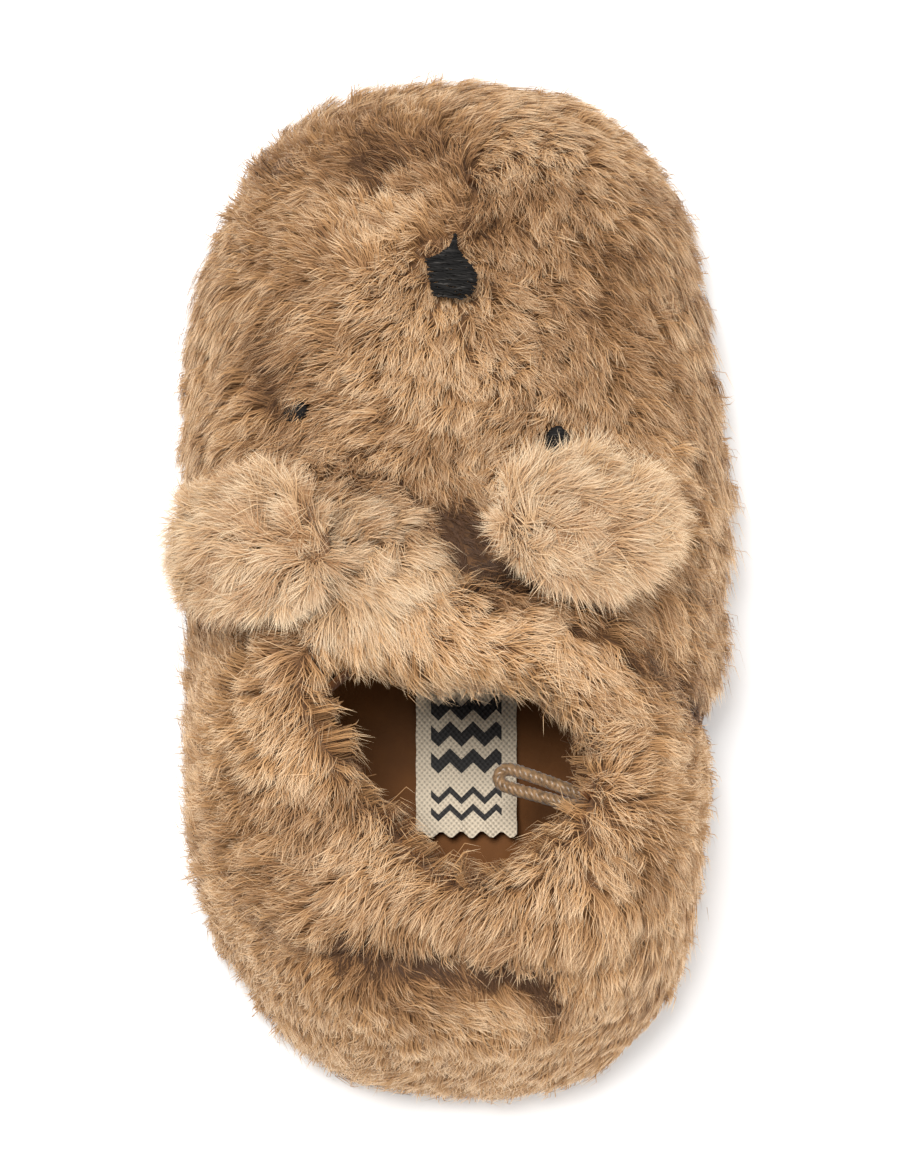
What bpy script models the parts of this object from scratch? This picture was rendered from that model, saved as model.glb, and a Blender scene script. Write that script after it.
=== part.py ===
"""Toddler's plush animal slipper for the left foot, standing empty on its sole.

Metres, +Z up, toe towards +Y, inner side of the foot towards +X. The origin is on the floor
under the middle of the foot room. A place on the upper is given by its turn, which runs from
0 at the heel past 0.25 on the inner side and 0.5 at the toe to 1 at the heel again, and by
its share of the way from the sole up to the collar.
"""

import functools
import math
from collections import namedtuple

import bmesh
import bpy
from mathutils import Euler, Vector

# Foot room, the space that the last fills
ROOM_LENGTH = 0.136
HEEL_WIDTH = 0.059
WAIST_WIDTH = 0.059
BALL_WIDTH = 0.062
TOE_WIDTH = 0.062
END_ROUNDNESS = 3.1
FOOT_CURVE = 0.0040
BALL_LINE = 0.034
TOE_SPRING = 0.003

# Sole and insole
SOLE_THICKNESS = 0.004
SOLE_EDGE_RADIUS = 0.0013
SOLE_GROOVE = 0.0006
INSOLE_THICKNESS = 0.003
INSOLE_PLAY = 0.0006

# Collar opening, measured at its cloth edge
COLLAR_LENGTH = 0.037
COLLAR_WIDTH = 0.045
COLLAR_SETBACK = 0.0342
COLLAR_HEIGHT = 0.045
COLLAR_WARP = 0.42
COLLAR_REACH = 0.008

# Wall of the upper and its pile
CLOTH_WALL = 0.003
FUR_DEPTH = 0.0075
LOCK_DEPTH = 0.0036
LOCK_COLUMN_FALLS = (0.90, 0.0, 0.35)
LOCK_ROOT_FALL = 0.65
LOCK_CHANGE = 0.25
SKIRT_DROP = 0.0031
SKIRT_PLAY = 0.0008
PROFILE_ROUNDNESS = 2.4
VAMP_SLOPE = 1.3

# Head panel, which stands proud of the quarter behind it
HEAD_STEP = 0.0022
HEAD_EDGE_BACK = 0.017
HEAD_EDGE_BLEND = 0.004
FACE_TURN = math.radians(-10)

# Cuff rolled over the collar
CUFF_WIDTH = 0.0125
CUFF_LIP = 0.0045
LIP_DROOP = 0.0010
CUFF_DEPTH = 0.0085
CUFF_ROUNDNESS = 2.6
CUFF_LOCK_DEPTH = 0.0024

# Ears, nose and eyes, in the plan of the upper
EAR_LENGTH = 0.029
EAR_WIDTH = 0.027
EAR_THICKNESS = 0.0085
EAR_ROUNDNESS = 2.3
INNER_EAR = (0.0172, -0.0006)
OUTER_EAR = (-0.0262, -0.0033)
NOSE_WIDTH = 0.0082
NOSE_LENGTH = 0.0078
NOSE_FLAT_SIDE = 0.0031
NOSE_SPIKE = 0.0026
NOSE_SPIKE_SHARPNESS = 24
NOSE_PLACE = (-0.0002, 0.0392)
EYE_WIDTH = 0.0032
EYE_LENGTH = 0.0044
INNER_EYE = (0.0153, 0.0133)
OUTER_EYE = (-0.0221, 0.0193)
STITCH_THICKNESS = 0.0012
DIMPLE_DEPTH = 0.0018
DIMPLE_RADIUS = 0.0105

# Woven label on the insole, and the hanging loop on the inner side of the collar
LABEL_WIDTH = 0.0148
LABEL_LENGTH = 0.043
LABEL_THICKNESS = 0.0006
LABEL_BACK = 0.0385
LABEL_SIDE = 0.0024
LABEL_CURL = 0.0012
LOOP_REACH = 0.0210
LOOP_CORD = 0.0021
LOOP_OPENING = 0.0006
LOOP_TURN = 0.182
LOOP_LEAN = math.radians(-12)
LOOP_SHARE = 0.64
LOOP_SAG = 0.0030

# Clearances between pieces that touch
SEAT_GAP = 0.0003
LOOP_SEAT = 0.0008
CUFF_SIDE_PLAY = 0.0015

# Grid of the upper: three columns and four rows make one lock of fur
LOCK_COLUMNS = 3
LOCK_ROWS = 4
COLUMNS = 75
LOCK_BANDS = 5
LINING_ROWS = 6
SEAT_ROWS = 5
CUFF_ROWS = 8
SOLE_RINGS = 2
EAR_SPOKES = 21
EAR_RINGS = 4
PROFILE_STEPS = 48
SEARCH_TURNS = 48
SEARCH_SHARES = 24
SEARCH_ROUNDS = 14
SLOPE_STEP = 0.004
GOLDEN_ANGLE = 2.4
SMALL = 0.001
SHARP_EDGE = math.radians(50)

Width = namedtuple("Width", "along width curve")
Section = namedtuple("Section", "turn height round_side fur step cuff")

# The foot room from -1 at the heel to 1 at the toe: its width, and how far its middle curves
# to the inner side as a share of FOOT_CURVE
ROOM_WIDTHS = (
    Width(-1.00, HEEL_WIDTH, 1.00),
    Width(-0.55, HEEL_WIDTH, -0.05),
    Width(-0.05, WAIST_WIDTH, -0.05),
    Width(0.50, BALL_WIDTH, -0.15),
    Width(1.00, TOE_WIDTH, 0.45),
)

# Round the upper: the collar's height as a share of COLLAR_HEIGHT, the share of that height
# that the round side takes before the slope begins, the pile as a share of FUR_DEPTH, the head
# panel's step as a share of HEAD_STEP, and the cuff's reach down from the collar's edge as a
# share of CUFF_WIDTH
SECTIONS = (
    Section(0.00, 0.93, 1.00, 0.85, 1.0, 0.40),
    Section(0.12, 0.89, 1.00, 1.15, 1.0, 0.90),
    Section(0.18, 0.88, 1.00, 1.20, 1.0, 1.00),
    Section(0.25, 0.90, 0.92, 1.10, 1.9, 0.90),
    Section(0.33, 0.93, 0.84, 0.88, 1.0, 0.80),
    Section(0.41, 0.96, 0.76, 1.02, 1.0, 0.70),
    Section(0.50, 1.00, 0.66, 0.80, 1.0, 0.60),
    Section(0.59, 0.96, 0.76, 1.08, 1.0, 0.70),
    Section(0.67, 0.93, 0.82, 0.95, 0.8, 0.80),
    Section(0.75, 0.90, 0.94, 1.05, 0.4, 0.90),
    Section(0.82, 0.88, 1.00, 1.40, 0.4, 1.00),
    Section(0.90, 0.90, 1.00, 1.20, 1.0, 0.80),
    Section(1.00, 0.93, 1.00, 0.85, 1.0, 0.40),
)

Finish = namedtuple("Finish", "colour roughness")
FINISHES = {
    "outsole": Finish((0.30, 0.21, 0.13), 0.85),
    "insole": Finish((0.13, 0.065, 0.025), 0.90),
    "upper": Finish((0.58, 0.38, 0.21), 0.95),
    "collar_cuff": Finish((0.66, 0.46, 0.27), 0.95),
    "ear_inner": Finish((0.72, 0.53, 0.33), 0.95),
    "ear_outer": Finish((0.72, 0.53, 0.33), 0.95),
    "nose": Finish((0.012, 0.011, 0.011), 0.70),
    "eye_inner": Finish((0.012, 0.011, 0.011), 0.70),
    "eye_outer": Finish((0.012, 0.011, 0.011), 0.70),
    "label": Finish((0.62, 0.56, 0.46), 0.90),
    "hang_loop": Finish((0.55, 0.38, 0.22), 0.45),
}


def clear_scene():
    for obj in list(bpy.data.objects):
        bpy.data.objects.remove(obj, do_unlink=True)


def ease(value):
    """Smooth step from 0 to 1."""
    value = min(1.0, max(0.0, value))
    return value * value * (3 - 2 * value)


def read_table(rows, key, column):
    """The column's value at a key, eased between the rows of a table whose first column rises."""
    for low, high in zip(rows, rows[1:]):
        if key <= high[0]:
            break
    way = ease((key - low[0]) / (high[0] - low[0]))
    return getattr(low, column) * (1 - way) + getattr(high, column) * way


def signed_power(value, exponent):
    return math.copysign(abs(value) ** exponent, value)


def spring(y):
    """How far the sole is lifted off the floor towards the toe."""
    past = max(0.0, y - BALL_LINE) / (ROOM_LENGTH / 2 - BALL_LINE)
    return TOE_SPRING * past * past


def outline(turn, grow=0.0, scale=1.0):
    """Plan point on the foot room's edge, moved out by grow."""
    angle = 2 * math.pi * turn - math.pi / 2
    across = signed_power(math.cos(angle), 2 / END_ROUNDNESS)
    along = signed_power(math.sin(angle), 2 / END_ROUNDNESS)
    half = read_table(ROOM_WIDTHS, along, "width") / 2 + grow
    bend = FOOT_CURVE * read_table(ROOM_WIDTHS, along, "curve")
    return scale * (across * half + bend), scale * along * (ROOM_LENGTH / 2 + grow)


def collar_edge(turn):
    """Point on the collar's cloth edge that the upper's column at this turn ends in."""
    warped = turn + COLLAR_WARP * math.sin(2 * math.pi * turn) / (2 * math.pi)
    angle = 2 * math.pi * warped - math.pi / 2
    x = COLLAR_WIDTH / 2 * math.cos(angle)
    y = COLLAR_LENGTH / 2 * math.sin(angle) - COLLAR_SETBACK
    return Vector((x, y, COLLAR_HEIGHT * read_table(SECTIONS, turn, "height")))


def feather_edge(turn):
    """Point where the upper's lining meets the sole."""
    x, y = outline(turn)
    return Vector((x, y, SOLE_THICKNESS + SEAT_GAP + spring(y)))


def edge_normal(edge, turn):
    """Level direction outwards from an edge that runs round the slipper."""
    along = edge((turn + 0.002) % 1.0) - edge((turn - 0.002) % 1.0)
    return Vector((along.y, -along.x, 0.0)).normalized()


def bezier(bends, way):
    """Point on the curve with four bend points, where way runs from 0 to 1."""
    back = 1 - way
    shares = (back**3, 3 * back * back * way, 3 * back * way * way, way**3)
    return sum((bend * share for bend, share in zip(bends, shares)), Vector())


@functools.lru_cache(maxsize=None)
def column(turn):
    """Points up the lining at one turn, and the way to each of them."""
    foot, top = feather_edge(turn), collar_edge(turn)
    side = read_table(SECTIONS, turn, "round_side")
    reach = min(COLLAR_REACH, (foot - top).xy.length / 3)
    foot_bend = foot - edge_normal(feather_edge, turn) * reach
    top_bend = top + edge_normal(collar_edge, turn) * reach
    bends = (foot, foot_bend, top_bend, top)
    points = []
    for step in range(PROFILE_STEPS + 1):
        angle = math.pi / 2 * step / PROFILE_STEPS
        over = 1 - max(0.0, math.cos(angle)) ** (2 / PROFILE_ROUNDNESS)
        rise = math.sin(angle) ** (2 / PROFILE_ROUNDNESS)
        point = bezier(bends, over)
        point.z = foot.z + (top.z - foot.z) * (side * rise + (1 - side) * over**VAMP_SLOPE)
        points.append(point)
    ways = [0.0]
    for low, high in zip(points, points[1:]):
        ways.append(ways[-1] + (high - low).length)
    return points, ways


def column_length(turn):
    return column(turn % 1.0)[1][-1]


def lining(turn, share):
    """Point on the last. A share above 1 runs straight on past the collar's edge."""
    points, ways = column(turn % 1.0)
    way = share * ways[-1]
    place = next((i for i, w in enumerate(ways[1:]) if w >= way), len(ways) - 2)
    place = max(0, place)
    part = (way - ways[place]) / (ways[place + 1] - ways[place])
    return points[place] + (points[place + 1] - points[place]) * part


def slopes(turn, share, out=0.0):
    """How the wall runs with the turn and with the share, and its outward normal."""
    step = SLOPE_STEP
    low = max(0.0, share - step)
    with_turn = (wall(turn + step, share, out) - wall(turn - step, share, out)) / (2 * step)
    with_share = (wall(turn, share + step, out) - wall(turn, low, out)) / (share + step - low)
    return with_turn, with_share, with_turn.cross(with_share).normalized()


def wall(turn, share, out=0.0):
    """Point that lies out beyond the lining, along the wall's normal."""
    point = lining(turn, share)
    if out:
        point = point + slopes(turn, share)[2] * out
    return point


def head_step(turn, point):
    """How far the fur of the head panel stands proud of the quarter behind it."""
    on_panel = ease((point.y + HEAD_EDGE_BACK) / HEAD_EDGE_BLEND + 0.5)
    return HEAD_STEP * read_table(SECTIONS, turn % 1.0, "step") * on_panel


def dimple_share(point):
    """How far the pile is pressed down by the stitched nose and eyes, from 0 to 1."""
    deepest = 0.0
    for x, y in (NOSE_PLACE, INNER_EYE, OUTER_EYE):
        away = math.hypot(point.x - x, point.y - y) / DIMPLE_RADIUS
        deepest = max(deepest, 1 - ease(2 * away - 1))
    return deepest


def pile(turn, share):
    """Depth of the fur over the cloth, up to the tips of its locks."""
    point = lining(turn, share)
    depth = FUR_DEPTH * read_table(SECTIONS, turn % 1.0, "fur")
    return depth + head_step(turn, point) - DIMPLE_DEPTH * dimple_share(point)


def fur_tips(turn, share):
    """How far the fur's tips stand out from the lining."""
    return CLOTH_WALL + pile(turn, share)


def lock_fall(row, number):
    """How far a grid point lies under the fur's tips, as a share of the locks' depth.

    Each lock hangs over the root of the one below it, falls away at its own root, and stands
    beside a valley. Neighbouring bands are offset, and the locks differ a little in height.
    """
    band = row // LOCK_ROWS
    root = (row % LOCK_ROWS) / (LOCK_ROWS - 1)
    lock, across = divmod(number + 2 * band, LOCK_COLUMNS)
    valley = LOCK_COLUMN_FALLS[across] * (1 - root / 2)
    change = LOCK_CHANGE * math.sin(GOLDEN_ANGLE * (lock + band)) ** 2
    return min(1.0, LOCK_ROOT_FALL * root + valley + change)


def add_loft(name, loops, ends_meet):
    """Closed solid over closed loops of points. Where the ends don't meet they are capped."""
    mesh = bmesh.new()
    rings = [[mesh.verts.new(point) for point in loop] for loop in loops]
    pairs = list(zip(rings, rings[1:]))
    if ends_meet:
        pairs.append((rings[-1], rings[0]))
    else:
        mesh.faces.new(rings[0])
        mesh.faces.new(rings[-1])
    size = len(rings[0])
    for low, high in pairs:
        for i in range(size):
            j = (i + 1) % size
            mesh.faces.new((low[i], low[j], high[j]))
            mesh.faces.new((low[i], high[j], high[i]))
    bmesh.ops.recalc_face_normals(mesh, faces=mesh.faces)
    return finish_mesh(name, mesh)


def finish_mesh(name, mesh):
    data = bpy.data.meshes.new(name)
    mesh.to_mesh(data)
    mesh.free()
    data.shade_smooth()
    data.set_sharp_from_angle(angle=SHARP_EDGE)
    obj = bpy.data.objects.new(name, data)
    bpy.data.collections["animal_slipper"].objects.link(obj)
    return give_finish(obj)


def give_finish(obj):
    finish = FINISHES[obj.name]
    material = bpy.data.materials.new(obj.name)
    material.use_nodes = True
    shader = material.node_tree.nodes["Principled BSDF"]
    shader.inputs["Base Color"].default_value = (*finish.colour, 1.0)
    shader.inputs["Roughness"].default_value = finish.roughness
    shader.inputs["Metallic"].default_value = 0.0
    obj.data.materials.append(material)
    return obj


def plan_ring(grow, scale, height):
    """Ring of sole points, its height over the floor following the toe spring."""
    ring = []
    for i in range(COLUMNS):
        x, y = outline(i / COLUMNS, grow, scale)
        ring.append(Vector((x, y, height + spring(y))))
    return ring


def slab_rings(grow, bottom, top, edge):
    """Rings from the middle of the underside, round a softened edge, to the middle of the top."""
    inner = [ring / (SOLE_RINGS + 1) for ring in range(1, SOLE_RINGS + 1)]
    rings = [plan_ring(grow - edge, scale, bottom) for scale in inner]
    rings.append(plan_ring(grow - edge, 1.0, bottom))
    rings.append(plan_ring(grow, 1.0, bottom + edge))
    rings.append(plan_ring(grow, 1.0, top - edge))
    rings.append(plan_ring(grow - edge, 1.0, top))
    rings += [plan_ring(grow - edge, scale, top) for scale in reversed(inner)]
    return rings


def build_outsole():
    """Soft flat sole with a shallow groove round its side, where it is stitched to the upper."""
    grow, edge, top = CLOTH_WALL, SOLE_EDGE_RADIUS, SOLE_THICKNESS
    rings = slab_rings(grow, 0.0, top, edge)
    middle = SOLE_RINGS + 2
    rings.insert(middle, plan_ring(grow - SOLE_GROOVE, 1.0, top / 2))
    add_loft("outsole", rings, ends_meet=False)


def build_insole():
    bottom = SOLE_THICKNESS + SEAT_GAP
    rings = slab_rings(-INSOLE_PLAY, bottom, bottom + INSOLE_THICKNESS, INSOLE_THICKNESS / 5)
    add_loft("insole", rings, ends_meet=False)


def upper_loop(number):
    """Section through the upper's wall: up the lining, over the rim, down the fur, round the hem."""
    turn = number / COLUMNS
    length = column_length(turn)
    beside_insole = (INSOLE_THICKNESS + SEAT_GAP) / length
    loop = [wall(turn, 0.0)]
    for row in range(LINING_ROWS):
        loop.append(wall(turn, beside_insole + (1 - beside_insole) * row / (LINING_ROWS - 1)))
    loop += [wall(turn, 1 - way / length, CLOTH_WALL) for way in seat_ways(turn)]
    fur_top = 1 - (cuff_width(turn) + CUFF_SIDE_PLAY) / length
    loop.append(wall(turn, fur_top, CLOTH_WALL))
    rows = LOCK_BANDS * LOCK_ROWS
    for row in reversed(range(rows)):
        share = fur_top * row / (rows - 1)
        fall = LOCK_DEPTH * lock_fall(row, number) * (1 - dimple_share(lining(turn, share)))
        loop.append(wall(turn, share, fur_tips(turn, share) - fall))
    hem = fur_tips(turn, 0.0) - LOCK_DEPTH * lock_fall(1, number)
    drop = Vector((0, 0, SKIRT_DROP))
    loop.append(wall(turn, 0.0, hem) - drop)
    loop.append(wall(turn, 0.0, CLOTH_WALL + SKIRT_PLAY) - drop)
    loop.append(wall(turn, 0.0, CLOTH_WALL + SKIRT_PLAY))
    return loop


def build_upper():
    """Hollow plush upper, open at the collar and underneath, with its pile as locks."""
    add_loft("upper", [upper_loop(number) for number in range(COLUMNS)], ends_meet=True)


def cuff_width(turn):
    return CUFF_WIDTH * read_table(SECTIONS, turn % 1.0, "cuff")


def seat_ways(turn):
    """Distances down from the collar's edge at which the cuff's seat on the cloth has its rows."""
    return [cuff_width(turn) * (row / (SEAT_ROWS - 1)) ** 1.5 for row in range(SEAT_ROWS)]


def cuff_loop(number):
    """Section through the rolled cuff, which rests on the cloth and hangs over the collar's edge."""
    turn = number / COLUMNS
    length = column_length(turn)
    seat = CLOTH_WALL + SEAT_GAP
    corners = [(-way, seat) for way in seat_ways(turn)]
    middle = (CUFF_LIP - cuff_width(turn)) / 2
    half = (CUFF_LIP + cuff_width(turn)) / 2
    for row in range(CUFF_ROWS):
        angle = math.pi * (row + 0.5) / CUFF_ROWS
        past_edge = middle - half * signed_power(math.cos(angle), 2 / CUFF_ROUNDNESS)
        rise = math.sin(angle) ** (2 / CUFF_ROUNDNESS)
        depth = CUFF_DEPTH - CUFF_LOCK_DEPTH * lock_fall(row, number)
        corners.append((past_edge, seat + depth * rise))
    corners.append((0.7 * CUFF_LIP, -LIP_DROOP))
    corners.append((2 * SEAT_GAP, 0.0))
    corners.append((2 * SEAT_GAP, seat))
    return [wall(turn, 1 + past_edge / length, out) for past_edge, out in corners]


def build_cuff():
    loops = [cuff_loop(number) for number in range(COLUMNS)]
    add_loft("collar_cuff", loops, ends_meet=True)


def find_on_upper(place):
    """Turn and share of the spot on the fur that lies over a point of the plan."""
    target = Vector((*place, 0.0))
    turns = [i / SEARCH_TURNS for i in range(SEARCH_TURNS)]
    shares = [j / SEARCH_SHARES for j in range(2, SEARCH_SHARES)]
    spots = [(turn, share) for turn in turns for share in shares]

    def miss(spot):
        return (wall(*spot, fur_tips(*spot)) - target).xy.length

    turn, share = min(spots, key=miss)
    reach = 1 / SEARCH_TURNS
    for _ in range(SEARCH_ROUNDS):
        near = [(turn + i * reach, share + j * reach) for i in (-1, 0, 1) for j in (-1, 0, 1)]
        turn, share = min(near, key=miss)
        reach *= 0.7
    return turn, share


def walk(spot, heading, distances, out):
    """Spots met on a straight way over the wall, at each of the rising distances from a spot."""
    turn, share = spot
    found, gone = [], 0.0
    for distance in distances:
        pace = (distance - gone) / 2
        for _ in range(2):
            with_turn, with_share, normal = slopes(turn, share, out)
            heading = (heading - normal * heading.dot(normal)).normalized()
            a, b, c = with_turn.dot(with_turn), with_turn.dot(with_share), with_share.dot(with_share)
            p, q = heading.dot(with_turn), heading.dot(with_share)
            turn += pace * (c * p - b * q) / (a * c - b * b)
            share += pace * (a * q - b * p) / (a * c - b * b)
        gone = distance
        found.append((turn, share))
    return found


def add_patch(name, place, radius, lift, thickness, spokes, rings):
    """Solid that lies on the upper round a point of the plan.

    radius gives its reach for an angle, counted from the inner side towards the toe. lift gives
    how far its underside stands out from the lining, and thickness its depth, for a share of
    the reach.
    """
    spot = find_on_upper(place)
    shares = [ring / rings for ring in range(1, rings + 1)]
    out = lift(*spot)
    spoke_spots = []
    for i in range(spokes):
        angle = 2 * math.pi * i / spokes
        heading = Vector((math.cos(angle + FACE_TURN), math.sin(angle + FACE_TURN), 0.0))
        spoke_spots.append(walk(spot, heading, [radius(angle) * s for s in shares], out))
    under = [[wall(*spots[k], lift(*spots[k])) for spots in spoke_spots] for k in range(rings)]
    over = []
    for k in range(rings):
        ring = []
        for i, spots in enumerate(spoke_spots):
            ring.append(wall(*spots[k], lift(*spots[k]) + thickness(shares[k], i)))
        over.append(ring)
    add_loft(name, under + list(reversed(over)), ends_meet=False)


def ear_radius(angle):
    """Reach of a round ear, a little pointed where it is sewn on towards the middle."""
    across = abs(math.cos(angle)) / (EAR_LENGTH / 2)
    along = abs(math.sin(angle)) / (EAR_WIDTH / 2)
    return (across**EAR_ROUNDNESS + along**EAR_ROUNDNESS) ** (-1 / EAR_ROUNDNESS)


def ear_lift(turn, share):
    """The ear bridges from the head's fur to the cuff, so it lies over the higher of the two."""
    seat = CUFF_DEPTH + SEAT_GAP
    point = lining(turn, min(share, 1.0))
    fur = FUR_DEPTH * read_table(SECTIONS, turn % 1.0, "fur") + head_step(turn, point)
    return CLOTH_WALL + max(seat, fur) + SEAT_GAP


def ear_thickness(reach, spoke):
    """Rounded puff whose rim is broken into locks."""
    lock = 1 - 0.25 * reach if spoke % LOCK_COLUMNS == 0 else 1.0
    rim = EAR_THICKNESS / 4
    return rim + (EAR_THICKNESS - rim) * math.sqrt(max(0.0, 1 - reach**3)) * lock


def build_ears():
    for name, place in (("ear_inner", INNER_EAR), ("ear_outer", OUTER_EAR)):
        add_patch(name, place, ear_radius, ear_lift, ear_thickness, EAR_SPOKES, EAR_RINGS)


def nose_radius(angle):
    """Rounded triangle with its flat side towards the ankle and a short spike towards the toe."""
    across, along = math.cos(angle), math.sin(angle)
    oval = 1 / math.hypot(across / (NOSE_WIDTH / 2), along / (NOSE_LENGTH / 2))
    flat_side = NOSE_FLAT_SIDE / max(SMALL, -along)
    spike = NOSE_SPIKE * max(0.0, along) ** NOSE_SPIKE_SHARPNESS
    return min(oval, flat_side) + spike


def eye_radius(angle):
    return 1 / math.hypot(math.cos(angle) / (EYE_WIDTH / 2), math.sin(angle) / (EYE_LENGTH / 2))


def stitch_lift(turn, share):
    return fur_tips(turn, share) + SEAT_GAP


def stitch_thickness(reach, spoke):
    return STITCH_THICKNESS * (1 - 0.5 * reach * reach)


def build_face():
    add_patch("nose", NOSE_PLACE, nose_radius, stitch_lift, stitch_thickness, 24, 3)
    add_patch("eye_inner", INNER_EYE, eye_radius, stitch_lift, stitch_thickness, 12, 2)
    add_patch("eye_outer", OUTER_EYE, eye_radius, stitch_lift, stitch_thickness, 12, 2)


def build_label():
    """Ribbon that lies on the insole, its back end curling up a little."""
    floor = SOLE_THICKNESS + INSOLE_THICKNESS + 2 * SEAT_GAP
    steps = 10
    loops = []
    for step in range(steps + 1):
        share = step / steps
        y = share * LABEL_LENGTH - LABEL_BACK
        low = floor + LABEL_CURL * (1 - share) ** 6
        corners = ((-0.5, low), (0.5, low), (0.5, low + LABEL_THICKNESS), (-0.5, low + LABEL_THICKNESS))
        loops.append([Vector((LABEL_SIDE + side * LABEL_WIDTH, y, z)) for side, z in corners])
    add_loft("label", loops, ends_meet=False)


def loop_path():
    """Middle of the hanging loop's cord: out from the lining, round its end and back."""
    anchor = lining(LOOP_TURN, LOOP_SHARE)
    inward = -slopes(LOOP_TURN, LOOP_SHARE)[2]
    inward.z = 0.0
    inward.normalize()
    inward.rotate(Euler((0.0, 0.0, LOOP_LEAN)))
    sideways = Vector((-inward.y, inward.x, 0.0))
    spread = (LOOP_CORD + LOOP_OPENING) / 2
    straight = LOOP_REACH - spread - LOOP_CORD / 2
    path = []
    for step in range(7):
        path.append((LOOP_SEAT + (straight - LOOP_SEAT) * step / 6, spread))
    for step in range(1, 8):
        angle = math.pi / 2 - math.pi * step / 8
        path.append((straight + spread * math.cos(angle), spread * math.sin(angle)))
    path += [(reach, -side) for reach, side in reversed(path[:7])]
    points = []
    for reach, side in path:
        sag = LOOP_SAG * (reach / LOOP_REACH) ** 2
        points.append(anchor + inward * reach + sideways * side - Vector((0, 0, sag)))
    return points


def build_hang_loop():
    curve = bpy.data.curves.new("hang_loop", "CURVE")
    curve.dimensions = "3D"
    curve.bevel_depth = LOOP_CORD / 2
    curve.bevel_resolution = 2
    curve.use_fill_caps = True
    points = loop_path()
    spline = curve.splines.new("POLY")
    spline.points.add(len(points) - 1)
    for place, point in zip(spline.points, points):
        place.co = (*point, 1.0)
    obj = bpy.data.objects.new("hang_loop", curve)
    bpy.data.collections["animal_slipper"].objects.link(obj)
    give_finish(obj)


def main():
    clear_scene()
    slipper = bpy.data.collections.new("animal_slipper")
    bpy.context.scene.collection.children.link(slipper)
    build_outsole()
    build_insole()
    build_upper()
    build_cuff()
    build_ears()
    build_face()
    build_label()
    build_hang_loop()


main()
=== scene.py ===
"""Toddler's plush animal slipper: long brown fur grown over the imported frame, with its trims."""

import math

import bmesh
import bpy
import numpy as np
from mathutils import Euler, Matrix, Vector, noise
from mathutils.bvhtree import BVHTree
from mathutils.kdtree import KDTree


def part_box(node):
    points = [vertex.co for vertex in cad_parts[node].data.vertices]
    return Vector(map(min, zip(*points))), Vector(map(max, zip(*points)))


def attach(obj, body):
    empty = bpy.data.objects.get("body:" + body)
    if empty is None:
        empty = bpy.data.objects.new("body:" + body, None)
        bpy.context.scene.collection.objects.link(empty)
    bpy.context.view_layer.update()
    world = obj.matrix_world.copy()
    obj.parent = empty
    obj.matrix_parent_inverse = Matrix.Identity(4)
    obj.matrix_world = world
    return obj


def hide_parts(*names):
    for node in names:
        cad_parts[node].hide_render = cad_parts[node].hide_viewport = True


bl_info = {
    "name": "Plush Animal Slipper",
    "version": (1, 0, 0),
    "blender": (4, 5, 0),
    "location": "View3D > Sidebar > Slipper",
    "description": "Dresses a packed slipper in fur, stitching, lining and trims",
    "category": "Object",
}

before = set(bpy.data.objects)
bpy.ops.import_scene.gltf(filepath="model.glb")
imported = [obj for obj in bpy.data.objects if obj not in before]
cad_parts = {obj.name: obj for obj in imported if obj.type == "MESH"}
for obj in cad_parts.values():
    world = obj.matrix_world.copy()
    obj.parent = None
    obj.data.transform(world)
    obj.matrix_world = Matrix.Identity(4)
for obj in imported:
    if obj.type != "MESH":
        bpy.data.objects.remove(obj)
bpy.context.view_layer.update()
BODY = "root"
MM = 0.001
MERGE_DISTANCE = 0.00002
NEAREST_CORNER = 0.0001
LEAST_LENGTH = 1e-9
LEAST_AWAY = 1e-6
WANDER_GAIN = 2.2
STITCH_TILT = math.radians(-8)

# Camera's elevation, its upright and its line of sight, for what is combed and coloured as in the photograph
CAMERA_ELEVATION = math.radians(78)
CAMERA_UP = (0.0, math.sin(CAMERA_ELEVATION), math.cos(CAMERA_ELEVATION))
CAMERA_WAY = (0.0, math.cos(CAMERA_ELEVATION), -math.sin(CAMERA_ELEVATION))
DOWN = Vector((0.0, 0.0, -1.0))
DROP_HEIGHT = 0.01

# Colours: how bright the darkest hairs' tips are against the roots, the lowest tones kept for the painted
# shade of creases and that shade's colour, and the hide
BROWN_DARKEST = 1.15
PALE_DARKEST = 1.55
CREASE_SHADE_TONES = 0.2
CREASE_SHADE_COLOUR = (0.085, 0.034, 0.010)
# The hide's dark brown is partly the backing's own colour and partly painted shade for the gaps between the
# hairs.
HIDE_AND_SHADE_COLOUR = (0.13, 0.062, 0.025)

# How deep the hide lies under the solids' faces, and how much pile stands on it
CLOTH_WALL = 0.0031
ROOT_SHARE = 0.62
TIPS_PROUD = 0.0003
CUFF_LEAST_PILE = 0.0034
EAR_INSET = 0.0036

# Where the pile gives way to stitches, and to pieces that lie over it
BARE_MARGIN = 0.0003
SHORT_MARGIN = 0.0036
SHORTEST = 0.36
STITCH_LOOK = 0.7
STITCH_NEAR = 0.015
FREE_STEPS = (0.25, 0.4, 0.55, 0.7, 0.85, 1.0)
COVER_LOOK = 0.5
COVER_GAP = 0.0008

# The fold at the root of the outer ear, and the swirls that the ears' pile spreads from
FOLD_PLACE = (-0.0103, -0.0070, 0.0475)
FOLD_SIZE = (0.0090, 0.0070, 0.0038)
FOLD_TURN = math.radians(-25)
FOLD_PILE = 0.0040
EAR_REACH = 1.32
EAR_HUG = 0.15
EAR_STRAY = 0.26
EAR_SWIRLS = (("ear_inner", (0.0090, -0.0020, 0.052)), ("ear_outer", (-0.0185, -0.0020, 0.050)))

# Where the cuff leans in, or out if less than nothing: heading and spread in degrees, metres in, metres down
LEANS = (
    (-140, 34, 0.0068, 0.0015), (-72, 22, -0.0014, 0.0), (180, 22, 0.0042, 0.0),
    (137, 22, -0.0064, 0.0), (92, 34, 0.0032, 0.0008),
)
LEAN_INNER = 0.021
LEAN_OUTER = 0.034
OPENING_SETBACK = 0.0342

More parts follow.
